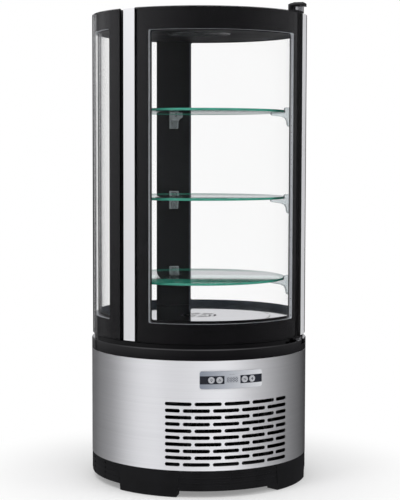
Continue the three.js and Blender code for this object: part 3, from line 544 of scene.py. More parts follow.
# The opaque finishes: noises as scale, detail, roughness and stretch, tint as dark and light, gloss as a
# range of roughness, bump as depth in metres and strength; a row with no noise has zinc crystals
FINISHES = {
    # Black enamel under and on the glass, with the faint orange peel of a sprayed coat
    "gloss_enamel": {
        "colour": (0.0045, 0.0042, 0.005), "roughness": 0.09, "fine": (90.0, 2.0), "broad": (14.0, 4.0),
        "gloss": (0.07, 0.13), "bump": (0.00003, 0.25)},
    # The inner face of the enamel, as it shows through the glass: a dull slate
    "slate_enamel": {
        "colour": (0.05, 0.056, 0.072), "roughness": 0.35, "fine": (40.0, 3.0),
        "tint": ((0.042, 0.047, 0.062), (0.06, 0.067, 0.086))},
    # Black moulded plastic with a fine spark-eroded grain
    "moulded_black": {
        "colour": (0.006, 0.006, 0.007), "roughness": 0.42, "Specular_IOR_Level": 0.12, "fine": (900.0, 2.0),
        "broad": (22.0, 5.0), "tint": ((0.003, 0.003, 0.0035), (0.006, 0.006, 0.007)), "gloss": (0.36, 0.5),
        "bump": (0.00006, 0.4)},
    # Black powder coat for the pillars and the roof
    "matt_black": {
        "colour": (0.005, 0.005, 0.006), "roughness": 0.5, "Specular_IOR_Level": 0.25, "fine": (420.0, 3.0),
        "broad": (9.0, 4.0), "gloss": (0.42, 0.58), "bump": (0.00008, 0.35)},
    # Anodised extrusion with fine upright drawing lines
    "satin_aluminium": {
        "colour": (0.8, 0.8, 0.815), "roughness": 0.46, "metallic": 0.25,
        "fine": (1.0, 2.0, 0.5, (1500.0, 1500.0, 2.0)), "tint": ((0.78, 0.78, 0.8), (0.82, 0.82, 0.835)),
        "gloss": (0.42, 0.5), "bump": (0.00002, 0.15)},
    # The dull bar between the two glasses
    "spacer_aluminium": {
        "colour": (0.78, 0.8, 0.84), "roughness": 0.35, "metallic": 0.55,
        "fine": (1.0, 2.0, 0.5, (900.0, 900.0, 30.0)), "gloss": (0.3, 0.42), "bump": (0.00003, 0.2)},
    # The bright rims of the spacer bar's pierced dots
    "bright_dots": {
        "colour": (0.8, 0.82, 0.84), "roughness": 0.3, "metallic": 0.6, "fine": (160.0, 2.0),
        "gloss": (0.24, 0.4)},
    # Zinc-coated sheet with its crystal spangle
    "galvanised_sheet": {
        "colour": (0.42, 0.43, 0.45), "roughness": 0.42, "metallic": 0.85,
        "tint": ((0.36, 0.37, 0.39), (0.5, 0.51, 0.53)), "gloss": (0.34, 0.52)},
    # Near-black sheet of the base tray, as painted shade, so the space seen through the air slots reads black
    "painted_shade_sheet": {
        "colour": (0.02, 0.021, 0.023), "roughness": 0.5,
        "tint": ((0.015, 0.016, 0.018), (0.028, 0.029, 0.031)), "gloss": (0.42, 0.58)},
    # The cabin floor: stainless plate polished to a mirror
    "mirror_floor": {
        "colour": (0.74, 0.745, 0.75), "roughness": 0.04, "metallic": 1.0,
        "fine": (1.0, 3.0, 0.5, (14.0, 700.0, 14.0)), "tint": ((0.71, 0.715, 0.72), (0.77, 0.775, 0.78)),
        "gloss": (0.03, 0.06)},
    # Dull black rubber
    "rubber_seal": {
        "colour": (0.009, 0.009, 0.0095), "roughness": 0.62, "fine": (600.0, 3.0),
        "tint": ((0.007, 0.007, 0.0075), (0.013, 0.013, 0.014)), "bump": (0.00005, 0.3)},
    # Chrome with faint handling haze
    "polished_chrome": {
        "colour": (0.84, 0.84, 0.86), "roughness": 0.1, "metallic": 1.0, "fine": (120.0, 3.0),
        "gloss": (0.07, 0.16)},
    # The dark lens of the lamp, unlit
    "smoked_lens": {
        "colour": (0.016, 0.017, 0.019), "roughness": 0.22, "fine": (300.0, 2.0), "broad": (24.0, 3.0),
        "tint": ((0.012, 0.013, 0.015), (0.02, 0.021, 0.024)), "bump": (0.00003, 0.25)},
    "white_liner": plastic((0.78, 0.78, 0.76), 0.4),
    "grey_cap": plastic((0.5, 0.51, 0.54), 0.32),
    "icon_ink": plastic((0.05, 0.055, 0.07), 0.35),
    "panel_band": plastic((0.014, 0.016, 0.024), 0.22),
    "display_face": plastic((0.5, 0.52, 0.57), 0.18),
    "compressor_enamel": plastic((0.012, 0.012, 0.013), 0.24, 140.0),
}


def brushed_steel():
    """Stainless sheet brushed round the drum: fine level lines, and gloss that spreads up and down."""
    colour = bpy.context.scene.cabinet_colours.steel
    material, tree, shader = start_finish("brushed_steel", colour, 0.5, 1.0, Anisotropic=0.95)
    lines = speckle(tree, 1.0, 2.0, 0.6, (5.0, 5.0, 2600.0))
    broad = speckle(tree, 1.0, 3.0, 0.5, (2.5, 2.5, 260.0))
    both = sums(tree, "MULTIPLY_ADD", broad, 0.4, sums(tree, "MULTIPLY", lines, 0.6))
    fill(tree, shader, {
        "Base Color": tinted(tree, both, [c * 0.94 for c in colour], [min(1.0, c * 1.04) for c in colour]),
        "Roughness": between(tree, lines, 0.47, 0.54),
        "Normal": relief(tree, lines, 0.00002, 0.15),
        "Tangent": put(tree, "ShaderNodeCombineXYZ", {2: 1.0}),
    })
    return material


def end_clear(tree, tint, front, share):
    """Ends a tree in a mix of clear and a front shader."""
    through = put(tree, "ShaderNodeBsdfTransparent", {"Color": (*tint, 1.0)})
    mix = put(tree, "ShaderNodeMixShader", {0: share, 1: through, 2: front})
    put(tree, "ShaderNodeOutputMaterial", {"Surface": mix})


def clear_finish(name, tint, shine, stops, base):
    """Thin clear glass: see-through, with a mirror that grows towards grazing angles."""
    material, tree = bare_material(name, (*tint, 0.2))
    mirror = put(tree, "ShaderNodeBsdfPrincipled", {
        "Base Color": (*shine, 1.0), "Metallic": 1.0, "Roughness": 0.02,
    })
    facing = put(tree, "ShaderNodeLayerWeight", {"Blend": 0.5}).outputs["Facing"]
    rise = put(tree, "ShaderNodeValToRGB", {0: facing})
    for place, level in stops:
        element = rise.color_ramp.elements.new(place)
        element.color = (level, level, level, 1.0)
    rise.color_ramp.elements.remove(rise.color_ramp.elements[0])
    floor = between(tree, speckle(tree, 7.0, 4.0), base * 0.8, base * 1.2)
    share = sums(tree, "MULTIPLY_ADD", sums(tree, "SUBTRACT", 1.0, floor), rise, floor)
    end_clear(tree, tint, mirror, share)
    return material


def clear_pane():
    """Float glass of the panes."""
    stops = (
        (0.0, 0.0), (0.44, 0.005), (0.52, 0.02), (0.6, 0.05), (0.66, 0.06), (0.74, 0.075), (0.79, 0.2),
        (0.85, 0.9),
    )
    return clear_finish("clear_pane", (0.9985, 0.9985, 0.9985), (1.0, 1.0, 1.0), stops, 0.005)


def clear_shelf():
    """Toughened glass of the shelves."""
    stops = ((0.0, 0.0), (0.5, 0.03), (0.7, 0.17), (0.8, 0.33), (0.9, 0.59), (1.0, 1.0))
    return clear_finish("clear_shelf", (0.95, 0.985, 0.975), (0.9, 1.0, 0.97), stops, 0.03)


def shelf_rim():
    """The ground edge of the shelf glass, deep green, with a faint painted glow where light gathers in it."""
    # painted glow: a weak green emission makes the rim shine as if it gathered light
    material, tree, shader = start_finish(
        "shelf_rim", (0.03, 0.26, 0.19), 0.22, Emission_Color=(0.03, 0.3, 0.21, 1.0), Emission_Strength=0.1)
    height = put(tree, "ShaderNodeSeparateXYZ", {0: own_place(tree)}).outputs[2]
    grind = speckle(tree, 1.0, 3.0, 0.5, (60.0, 60.0, 1400.0))
    fill(tree, shader, {
        "Base Color": tinted(tree, grind, (0.015, 0.17, 0.12), (0.07, 0.38, 0.28)),
        "Roughness": between(tree, height, 0.2, 0.24),
    })
    return material


def bracket_plastic():
    """Cloudy clear plastic, bluish where it is thick."""
    material, tree = bare_material("bracket_plastic", (0.5, 0.55, 0.6, 0.6))
    cloud = tinted(tree, speckle(tree, 60.0, 3.0), (0.52, 0.56, 0.58), (0.68, 0.72, 0.74))
    body = put(tree, "ShaderNodeBsdfPrincipled", {"Base Color": cloud, "Roughness": 0.14})
    facing = put(tree, "ShaderNodeLayerWeight", {"Blend": 0.4}).outputs["Facing"]
    end_clear(tree, (0.86, 0.89, 0.9), body, mapped(tree, facing, 0.0, 1.0, 0.15, 0.72))
    return material


def silver_film():
    """Satin film of the control panel, with a painted reflection: blue-grey at its left end and paler to the
    right.
    """
    material, tree, shader = start_finish("silver_film", (0.4, 0.43, 0.48), 0.3, 0.2)
    across = put(tree, "ShaderNodeSeparateXYZ", {0: own_place(tree)})
    # painted reflection: the base colour runs from a blue-grey left end to a pale right end, standing in for
    # the room reflected in the satin film
    ramp = put(tree, "ShaderNodeValToRGB", {0: mapped(tree, across, -0.07, 0.06)})
    ramp.color_ramp.elements[0].color = (0.27, 0.3, 0.36, 1.0)
    ramp.color_ramp.elements[1].color = (0.78, 0.79, 0.82, 1.0)
    grain = speckle(tree, 1.0, 2.0, 0.5, (20.0, 20.0, 1800.0))
    fill(tree, shader, {"Base Color": ramp, "Roughness": between(tree, grain, 0.26, 0.36)})
    return material


MAKERS = {
    maker.__name__: maker
    for maker in (brushed_steel, clear_pane, clear_shelf, shelf_rim, bracket_plastic, silver_film)
}


def finish(name):
    """A finish by name, made on its first use."""
    made = bpy.data.materials.get(name)
    if made:
        return made
    return surface(name, **FINISHES[name]) if name in FINISHES else MAKERS[name]()


# ---------------------------------------------------------------- settings


class CabinetSizes(bpy.types.PropertyGroup):
    """Sizes of the cabinet's own pieces"""

    slot_length: bpy.props.FloatProperty(
        name="Slot length", description="Length of an air slot in the steel wrap",
        default=0.0576, unit="LENGTH")
    slot_height: bpy.props.FloatProperty(
        name="Slot height", description="Height of an air slot", default=0.0078, unit="LENGTH")
    slot_pitch: bpy.props.FloatProperty(
        name="Slot pitch", description="Height from one row of slots to the next",
        default=0.0143, unit="LENGTH")
    slot_rows: bpy.props.IntProperty(
        name="Slot rows", description="Rows of air slots", default=10, min=1)
    window_corner: bpy.props.FloatProperty(
        name="Window corner", description="Corner radius of the clear window in the enamel border",
        default=0.004, unit="LENGTH")
    spacer_show: bpy.props.FloatProperty(
        name="Spacer show", description="How far the bright spacer bar stands inside the enamel border",
        default=0.0, unit="LENGTH")
    border_step: bpy.props.FloatProperty(
        name="Border step", description="How much farther the inner glass's border reaches into the window",
        default=0.004, unit="LENGTH")
    plinth_slats: bpy.props.IntProperty(
        name="Plinth slats", description="Level slats between the feet", default=3, min=1)


class CabinetColours(bpy.types.PropertyGroup):
    """Colours of the cabinet's finishes"""

    steel: bpy.props.FloatVectorProperty(
        name="Steel", description="Colour of the brushed steel wrap", subtype="COLOR",
        size=3, min=0.0, max=1.0, default=(0.85, 0.852, 0.858))


class StudioSettings(bpy.types.PropertyGroup):
    """Camera and light"""

    distance: bpy.props.FloatProperty(
        name="Camera distance", description="From the cabinet's axis", default=3.1285, unit="LENGTH")
    height: bpy.props.FloatProperty(
        name="Camera height", description="Above the floor", default=0.72595, unit="LENGTH")
    azimuth: bpy.props.FloatProperty(
        name="Camera azimuth", description="Round the cabinet from its front", default=math.radians(-18.0),
        subtype="ANGLE")
    tilt: bpy.props.FloatProperty(
        name="Camera tilt", description="Downward tilt", default=0.0698, subtype="ANGLE")
    daylight: bpy.props.FloatProperty(
        name="Room light", description="Strength of the even light of the room", default=0.75, min=0.0)
    window_light: bpy.props.FloatProperty(
        name="Window light",
        description="How bright polished metal sees the room above and below the cabinet",
        default=1.65, min=0.0)


# ---------------------------------------------------------------- pieces


class CABINET_OT_plinth(bpy.types.Operator):
    """Moulded plinth ring with its four feet, ribs and level slats"""

    bl_idname = "cabinet.plinth"
    bl_label = "Plinth"

    def execute(self, context):
        shape = bmesh.new()
        swept(shape, [
            (237.0, 13.5), (239.4, 13.5), (240.0, 14.1), (240.0, 56.2), (239.2, 57.0),
            (207.0, 57.0), (207.0, 53.0), (237.0, 53.0),
        ])
        low_half = FOOT_HALF - FOOT_LEAN
        side = (
            (210.0, 0.0, low_half), (239.6, 0.0, low_half), (240.9, 1.3, low_half),
            (241.0, 56.6, FOOT_HALF), (240.4, 57.0, FOOT_HALF), (208.0, 57.0, FOOT_HALF),
        )
        slats = context.scene.cabinet_sizes.plinth_slats
        pitch = (PLINTH_HIGH - PLINTH_LOW) / (slats + 1)
        low = PLINTH_LOW + pitch * 0.62
        for foot in range(4):
            centre = FIRST_FOOT + 90.0 * foot
            loft(shape, [
                [at(radius, centre - half + 2 * half * i / FOOT_STEPS, z) for radius, z, half in side]
                for i in range(FOOT_STEPS + 1)
            ])
            slat = bmesh.new()
            swept(slat, [
                (239.2, low), (240.75, low + 0.6), (240.75, low + pitch * 0.62), (239.2, low + pitch * 0.74),
            ], centre + FOOT_HALF - 0.2, FIRST_FOOT + 90.0 * (foot + 1) - FOOT_HALF + 0.2)
            merge(shape, repeated(slat, 1, slats + 1, move=(0.0, 0.0, pitch)))
            rib = bmesh.new()
            block(rib, (-1.1, -240.95, 14.2), (1.1, -239.0, 56.4))
            eased(rib, 0.4, 1)
            merge(shape, repeated(rib, 4, first=-17.0 + 90.0 * foot, step=15.0))
        piece("plinth", shape, "cabinet", ["moulded_black"], ["plinth_ring"])
        return {"FINISHED"}


def cut_sheet(half_angle, hole, slots):
    """A flat steel sheet with its hole and its field of slots."""
    half = along(half_angle)
    outline = [(-half, SHEET_LOW), (half, SHEET_LOW), (half, SHEET_HIGH), (-half, SHEET_HIGH)]
    return grown("Cut slot field", slot_field_tree, {
        **slots, "Shortest slot": SHORTEST_SLOT, "Depth": 240.0,
    }, flat_plate([outline, hole], SHEET_INNER, DRUM))


class CABINET_OT_front_wrap(bpy.types.Operator):
    """Brushed steel sheet with its staggered air slots"""

    bl_idname = "cabinet.front_wrap"
    bl_label = "Front wrap"

    def execute(self, context):
        sizes = context.scene.cabinet_sizes
        centre = along(PANEL_ANGLE)
        hole = rounded(centre - 64.5, centre + 64.5, PANEL_HEIGHT - 13.5, PANEL_HEIGHT + 13.5, 4.0)
        shape = bmesh.new()
        bent(shape, cut_sheet(WRAP_HALF, hole, {
            "Rows": sizes.slot_rows, "Columns": 7, "First height": 70.5, "Row pitch": sizes.slot_pitch / MM,
            "Slot length": sizes.slot_length / MM, "Slot height": sizes.slot_height / MM,
            "Bridge": SLOT_BRIDGE, "Stagger": SLOT_STAGGER, "Field start": SLOT_START, "Field end": SLOT_END,
        }), DRUM, 1.25)
        piece("front_wrap", shape, "cabinet", ["brushed_steel"], ["steel_front_wrap"], crease=25.0)
        return {"FINISHED"}


class CABINET_OT_rear_cover(bpy.types.Operator):
    """Galvanised service cover with louvres, hoods and screws"""

    bl_idname = "cabinet.rear_cover"
    bl_label = "Rear cover"

    def execute(self, context):
        shape = bmesh.new()
        bent(shape, cut_sheet(COVER_HALF, rounded(-25.0, 25.0, 78.0, 108.0, 2.0), {
            "Rows": LOUVRE_ROWS, "Columns": 3, "First height": 125.0, "Row pitch": LOUVRE_PITCH,
            "Slot length": LOUVRE_LENGTH, "Slot height": 8.0, "Bridge": LOUVRE_BRIDGE, "Stagger": 0.0,
            "Field start": -129.0, "Field end": 129.0,
        }), DRUM, 1.5, BEHIND)
        hood = bmesh.new()
        wide, step = arc(33.0), arc(LOUVRE_LENGTH + LOUVRE_BRIDGE)
        swept(hood, [
            (240.9, 130.6), (243.6, 127.2), (243.6, 122.6), (242.9, 122.6), (242.9, 126.8), (240.5, 129.6),
        ], BEHIND - wide, BEHIND + wide, 1.5)
        merge(shape, repeated(hood, 3, LOUVRE_ROWS, -step, step, (0.0, 0.0, LOUVRE_PITCH)))
        screw = bmesh.new()
        rod(screw, 4.2, (0, -240.8, 0), (0, -242.9, 0), ease=0.7)
        turn_to(screw, 118.2, 76.0)
        merge(shape, repeated(screw, 2, 3, 0.0, 123.6, (0.0, 0.0, 98.0)))
        piece("rear_cover", shape, "cabinet", ["galvanised_sheet"], ["rear_service_cover"])
        return {"FINISHED"}


class CABINET_OT_top_ring(bpy.types.Operator):
    """Gloss ring between the steel base and the glass, with the hinge's notch and the inner neck"""

    bl_idname = "cabinet.top_ring"
    bl_label = "Top ring"

    def execute(self, context):
        shape = bmesh.new()
        skirt = [
            (RING_BORE, 291.0), (236.5, 291.0), (236.5, 283.3), (237.0, 283.0), (239.0, 283.0),
            (239.5, 283.5), (239.5, 291.0), (240.6, 291.0), (241.0, 291.5),
        ]
        bore = [(210.0, NECK_TOP), (RING_BORE, NECK_TOP - 0.7)]
        swept(shape, [
            *skirt, (241.0, 312.4), (240.6, 313.6), (239.6, 314.7), (238.4, 315.0), (219.4, 315.0),
            (219.4, NECK_TOP - 0.7), (218.8, NECK_TOP), *bore,
        ], HINGE_ANGLE + RING_NOTCH, HINGE_ANGLE + 360.0 - RING_NOTCH, 1.5)
        swept(shape, [
            *skirt, (241.0, 304.6), (240.6, 305.0), (214.8, 305.0), (214.8, NECK_TOP - 0.5),
            (214.2, NECK_TOP), *bore,
        ], HINGE_ANGLE - RING_NOTCH, HINGE_ANGLE + RING_NOTCH, 1.0)
        swept(shape, [
            (228.0, 314.6), (234.0, 314.6), (234.4, 315.2), (234.4, 323.2), (233.8, 323.8), (228.0, 323.8),
        ], HINGE_ANGLE + 8.0, HINGE_ANGLE + 360.0 - arc(48.0) - 8.0, 1.5)
        piece("top_ring", shape, "cabinet", ["gloss_enamel"], ["base_top_ring"])
        return {"FINISHED"}


class CABINET_OT_control_panel(bpy.types.Operator):
    """Panel plate with its two dark bands, indicator marks and display with seven-segment digits"""

    bl_idname = "cabinet.control_panel"
    bl_label = "Control panel"

    def execute(self, context):
        centre = along(PANEL_ANGLE)

        def field(half_wide, half_high, corner):
            return rounded(centre - half_wide, centre + half_wide,
                           PANEL_HEIGHT - half_high, PANEL_HEIGHT + half_high, corner)

        def holes(angles, radius):
            return [circle(along(angle), PANEL_HEIGHT, radius) for angle in angles]

        openings = [field(13.0, 6.0, 1.8), *holes(BUTTON_ANGLES, 7.1)]
        shape = bmesh.new()
        wrapped(shape, [field(PANEL_HALF, 18.5, 4.6), *openings], 241.3, 242.7, DRUM)
        wrapped(shape, [field(PANEL_HALF - 0.4, 18.1, 4.2), *openings], 242.6, 243.0, DRUM)
        piece("panel_plate", shape, "cabinet", ["silver_film"], ["control_panel_plate"])

        bands = bmesh.new()
        for left, right, own in ((-18.0, -5.6, BUTTON_ANGLES[:2]), (2.7, 14.9, BUTTON_ANGLES[2:])):
            edge_left = max(along(left), centre - PANEL_HALF + 0.5)
            edge_right = min(along(right), centre + PANEL_HALF - 0.5)
            band = rounded(edge_left, edge_right, 242.0, 259.2, 0.6)
            wrapped(bands, [band, *holes(own, 7.3)], 242.9, 243.1, DRUM)
        piece("panel_bands", bands, "cabinet", ["panel_band"])

        face = bmesh.new()
        wrapped(face, [field(12.7, 5.7, 1.5)], 239.5, 242.7, DRUM)
        piece("display_glass", face, "cabinet", ["display_face"], ["display_window"])

        ink = bmesh.new()
        for digit in range(4):
            self.eight(ink, centre - 9.0 + 6.0 * digit, PANEL_HEIGHT)
        for mark in (-4.2, 0.0, 4.2):
            wrapped(ink, [circle(centre - 1.0 + mark, 261.6, 0.75, 12)], 242.95, 243.12, DRUM)
        piece("display_digits", ink, "cabinet", ["icon_ink"])
        return {"FINISHED"}

    def eight(self, ink, across, up):
        """One digit with its seven bars."""
        half_wide, half_high, bar = 1.75, 4.3, 0.68
        bars = [(across - half_wide + 0.8, across + half_wide - 0.8, z - bar, z + bar)
                for z in (up - half_high, up, up + half_high)]
        for side in (across - half_wide, across + half_wide):
            for low in (up - half_high + 0.7, up + 0.7):
                bars.append((side - bar, side + bar, low, low + half_high - 1.4))
        for sides in bars:
            wrapped(ink, [rounded(*sides, 0.3, 2)], 242.6, 242.84, DRUM)


class CABINET_OT_buttons(bpy.types.Operator):
    """Four round push buttons with a dished face and a plain symbol each"""

    bl_idname = "cabinet.buttons"
    bl_label = "Buttons"

    def execute(self, context):
        for index, angle in enumerate(BUTTON_ANGLES):
            name = "button_%d" % (index + 1)
            cap = bmesh.new()
            turned(cap, [
                (8.3, 239.3), (8.3, 240.4), (6.8, 240.5), (6.8, 242.9), (6.4, 243.2), (6.4, 244.1),
                (6.1, 244.5), (5.7, 244.6), (5.3, 244.5), (4.9, 244.15), (3.0, 244.05), (0.4, 244.05),
            ], 48)
            quarter = Matrix.Rotation(math.radians(90), 3, "X")
            bmesh.ops.rotate(cap, verts=cap.verts, cent=(0, 0, 0), matrix=quarter)
            turn_to(cap, angle, PANEL_HEIGHT)
            piece(name + "_cap", cap, name, ["grey_cap"], ["control_" + name], crease=50.0)
            icon = bmesh.new()
            for loops in self.symbols(index):
                wrapped(icon, loops, 243.9, 244.22, DRUM, turn=angle)
            piece(name + "_symbol", icon, name, ["icon_ink"])
        return {"FINISHED"}

    def symbols(self, index):
        """Outlines of a lamp, a warning triangle, a pair of arrows and a snow cap."""
        up = PANEL_HEIGHT
        if index == 0:
            return [[circle(0, up + 0.7, 2.3, 20), circle(0, up + 0.7, 1.5, 20)],
                    [rounded(-1.0, 1.0, up - 3.2, up - 1.9, 0.3, 2)]]
        if index == 1:
            return [[[(-3.0, up - 2.2), (3.0, up - 2.2), (0, up + 3.0)],
                     [(-1.6, up - 1.4), (1.6, up - 1.4), (0, up + 1.4)]]]
        if index == 2:
            pointer = [(-2.9, up - 0.2), (-0.3, up - 0.2), (-0.3, up - 2.6), (-2.9, up - 2.6)]
            return [[[(-3.4, up + 0.2), (-0.2, up + 0.2), (-1.8, up + 3.0)]],
                    [[(3.4, up - 0.2), (0.2, up - 0.2), (1.8, up - 3.0)]],
                    [[(x * 0.35 - 1.25, z) for x, z in pointer]],
                    [[(1.25 - x * 0.35, 2 * up - z) for x, z in pointer]]]
        return [[[(-3.2, up - 0.2), (3.2, up - 0.2), (0, up + 3.1)]],
                [rounded(-0.7, 0.7, up - 3.0, up + 0.1, 0.2, 2)]]


class CABINET_OT_panes(bpy.types.Operator):
    """Six curved glass panes: an outer and an inner one in each bay"""

    bl_idname = "cabinet.panes"
    bl_label = "Glass panes"

    def execute(self, context):
        for bay, (name, body, *_) in enumerate(BAYS):
            left, right = pane_arcs(bay)
            for layer, (back, front), inset in (("outer", OUTER_GLASS, 0.0), ("inner", INNER_GLASS, 3.0)):
                shape = bmesh.new()
                low, high, edge = PANE_BOTTOM + inset, PANE_TOP - inset, 0.7
                profile = [
                    (back, low + edge), (back + edge, low), (front - edge, low), (front, low + edge),
                    (front, high - edge), (front - edge, high), (back + edge, high), (back, high - edge),
                ]
                swept(shape, profile, arc(left + inset, GLASS), arc(right - inset, GLASS))
                made = piece("%s_%s_pane" % (name, layer), shape, body,
                             ["clear_pane", "gloss_enamel"], ["%s_%s_glass" % (name, layer)])
                for face in made.data.polygons:
                    face.material_index = 0 if abs(outward(face)) > 0.9 else 1
        return {"FINISHED"}


def pane_arcs(bay):
    """Where a pane starts and ends, as arc lengths on the glass."""
    strip = along(BAYS[bay][2], GLASS)
    following = along(BAYS[bay - 2][2] + (360.0 if bay == 2 else 0.0), GLASS)
    return strip + STRIP_WIDTH / 2 + 0.32, following - STRIP_WIDTH / 2 - FINGER_GAP


def window_loop(bay, grow, corner, rise=None, sill=0.0):
    """The clear window of a pane, grown at the sides, by the rise above and below, less the sill below."""
    strip_side, gap_side, top, bottom = BAYS[bay][3:]
    left, right = pane_arcs(bay)
    rise = grow if rise is None else rise
    return rounded(left + strip_side - grow, right - gap_side + grow,
                   PANE_BOTTOM + bottom - rise + sill, PANE_TOP - top + rise, corner)


def pane_loop(bay, inset):
    """The pane's own outline, inset by a length."""
    left, right = pane_arcs(bay)
    return rounded(left + inset, right - inset, PANE_BOTTOM + inset, PANE_TOP - inset, 0.5, 2)


class CABINET_OT_borders(bpy.types.Operator):
    """Enamel borders behind the glass, the bright spacer bars, the edge sealant and the rubber seals"""

    bl_idname = "cabinet.borders"
    bl_label = "Borders, spacers and seals"

    def execute(self, context):
        sizes = context.scene.cabinet_sizes
        corner = sizes.window_corner / MM
        show = sizes.spacer_show / MM
        step = sizes.border_step / MM
        for bay, (name, body, *_) in enumerate(BAYS):
            outer = bmesh.new()
            wrapped(outer, [pane_loop(bay, 0.8), window_loop(bay, 0.0, corner)], 234.76, 234.98, GLASS)
            piece(name + "_outer_border", outer, body, ["gloss_enamel"])
            inner = bmesh.new()
            wrapped(inner, [pane_loop(bay, 3.8), window_loop(bay, -step, corner, -step / 2, BORDER_SILL)],
                    227.02, 227.24, GLASS)
            made = piece(name + "_inner_border", inner, body,
                         ["gloss_enamel", "slate_enamel"])
            for face in made.data.polygons:
                face.material_index = 1 if face.normal.dot(face.center) < -0.5 * face.center.xy.length else 0

            bar = bmesh.new()
            wrapped(bar, [window_loop(bay, 5.0 - show, corner + 4.0), window_loop(bay, -show, corner)],
                    227.4, 234.6, GLASS)
            piece(name + "_spacer_bar", bar, body, ["spacer_aluminium"],
                  [name + "_spacer_frame"])
            dots = bmesh.new()
            for loop in self.dots(bay, show):
                merge(dots, loop)
            piece(name + "_spacer_dots", dots, body, ["bright_dots"])
            sealant = bmesh.new()
            wrapped(sealant, [pane_loop(bay, 2.0), window_loop(bay, 5.3 - show, corner + 4.0)],
                    227.3, 234.7, GLASS)
            piece(name + "_edge_sealant", sealant, body, ["rubber_seal"])

            seal = bmesh.new()
            left, right = pane_arcs(bay)
            flap = (FINGER_GAP - 0.3) if bay else DOOR_FLAP
            for back, front, out, inn in ((219.7, 222.7, 3.5, 13.0), (219.9, 221.0, 5.2, 11.2)):
                wrapped(seal, [
                    rounded(left + out, right + flap + 3.5 - out, PANE_BOTTOM + out, SEAL_TOP - out, 2.0, 3),
                    rounded(left + inn, right - inn, PANE_BOTTOM + inn, SEAL_TOP - inn, 3.0, 3),
                ], back, front, GLASS)
            piece(name + "_rubber_seal", seal, body, ["rubber_seal"], [name + "_seal"])
        return {"FINISHED"}

    def dots(self, bay, show):
        """The row of pierced dots along the spacer bar's upright sides, as small raised rims."""
        strip_side, gap_side, top, bottom = BAYS[bay][3:]
        left, right = pane_arcs(bay)
        low, high = PANE_BOTTOM + bottom + 6.0, PANE_TOP - top - 6.0
        made = []
        for across, way in ((left + strip_side + show, 0.3), (right - gap_side - show, -0.3)):
            item = bmesh.new()
            edges = sorted((across, across + way))
            wrapped(item, [rounded(*edges, low, low + 1.8, 0.1, 1)], 229.6, 232.4, GLASS)
            made.append(repeated(item, 1, int((high - low) / DOT_PITCH), move=(0.0, 0.0, DOT_PITCH)))
        return made


class CABINET_OT_strips(bpy.types.Operator):
    """Three bright upright strips with rounded noses; the door's one is its handle"""

    bl_idname = "cabinet.strips"
    bl_label = "Upright strips"

    def execute(self, context):
        rows = (
            ("door_handle", "door_handle_strip", "door", 223.0),
            ("right_strip", "right_pane_strip", "cabinet", 219.7),
            ("left_strip", "left_pane_strip", "cabinet", 219.7),
        )
        for bay, (name, node, body, back) in enumerate(rows):
            half = arc(STRIP_WIDTH, GLASS) / 2
            front, wall, nose = 240.6, 1.8, 0.9
            outline = [(-half, back), (-half, front - nose)]
            turns = 5
            for i in range(1, turns + 1):
                t = math.radians(90.0 * i / turns)
                inset = arc(nose * (1 - math.cos(t)), GLASS)
                outline.append((-half + inset, front - nose + nose * math.sin(t)))
            span = 8
            flat = 2 * half - 2 * arc(nose, GLASS)
            for i in range(1, span):
                outline.append((-half + arc(nose, GLASS) + flat * i / span, front))
            outline += [(-angle, radius) for angle, radius in reversed(outline[:2 + turns])]
            inner_half = half - arc(wall, GLASS)
            hollow = [(inner_half, back + wall), (inner_half, front - wall)]
            hollow += [(inner_half - 2 * inner_half * i / span, front - wall) for i in range(1, span)]
            hollow += [(-inner_half, front - wall), (-inner_half, back + wall)]
            shape = bmesh.new()
            self.hollow_bar(shape, outline, hollow, 326.5, 1027.5, BAYS[bay][2])
            made = piece(name, shape, body, ["satin_aluminium", "rubber_seal"], [node])
            for face in made.data.polygons:
                radius = face.center.xy.length / MM
                side = abs(outward(face)) < 0.2 and abs(face.normal.z) < 0.5
                face.material_index = 1 if side and 228.0 < radius < 233.0 else 0
        return {"FINISHED"}

    def hollow_bar(self, shape, outline, hollow, low, high, turn):
        """An upright bar with a through hollow, with capped walls at both ends."""
        loops = (outline, hollow)
        rings = []
        for z in (low, high):
            rings.append([[shape.verts.new(at(r, a + turn, z)) for a, r in loop] for loop in loops])
        for index in range(2):
            floor, roof = rings[0][index], rings[1][index]
            for i in range(len(floor)):
                k = (i + 1) % len(floor)
                shape.faces.new((floor[i], floor[k], roof[k], roof[i]))
        flat = [[at(r, a + turn) for a, r in loop] for loop in loops]
        for ring in rings:
            points = ring[0] + ring[1]
            for triangle in tessellate_polygon(flat):
                shape.faces.new([points[i] for i in triangle])


class CABINET_OT_pillars(bpy.types.Operator):
    """Three inner pillars with a small raised lip at each shelf"""

    bl_idname = "cabinet.pillars"
    bl_label = "Pillars"

    def execute(self, context):
        for bay, side in enumerate(SIDES):
            shape = bmesh.new()
            half = arc(80.0, 218.6) / 2
            outline = [at(218.6, -half + 2 * half * i / 16).xy for i in range(17)]
            outline += [Vector((40.0, -212.0)), Vector((-40.0, -212.0))]
            raised(shape, outline, FLOOR_TOP + 0.3, 989.7)
            eased(shape, 0.9, 3)
            for height in SHELF_HEIGHTS:
                lip = bmesh.new()
                block(lip, (-6.6, -212.6, height - 4.6), (6.6, -211.75, height + 4.6))
                eased(lip, 0.3, 1)
                merge(shape, lip)
            turn_to(shape, PILLAR_ANGLE + PILLAR_TURN * bay)
            piece(side + "_column", shape, "cabinet", ["matt_black"], [side + "_pillar"])
        return {"FINISHED"}


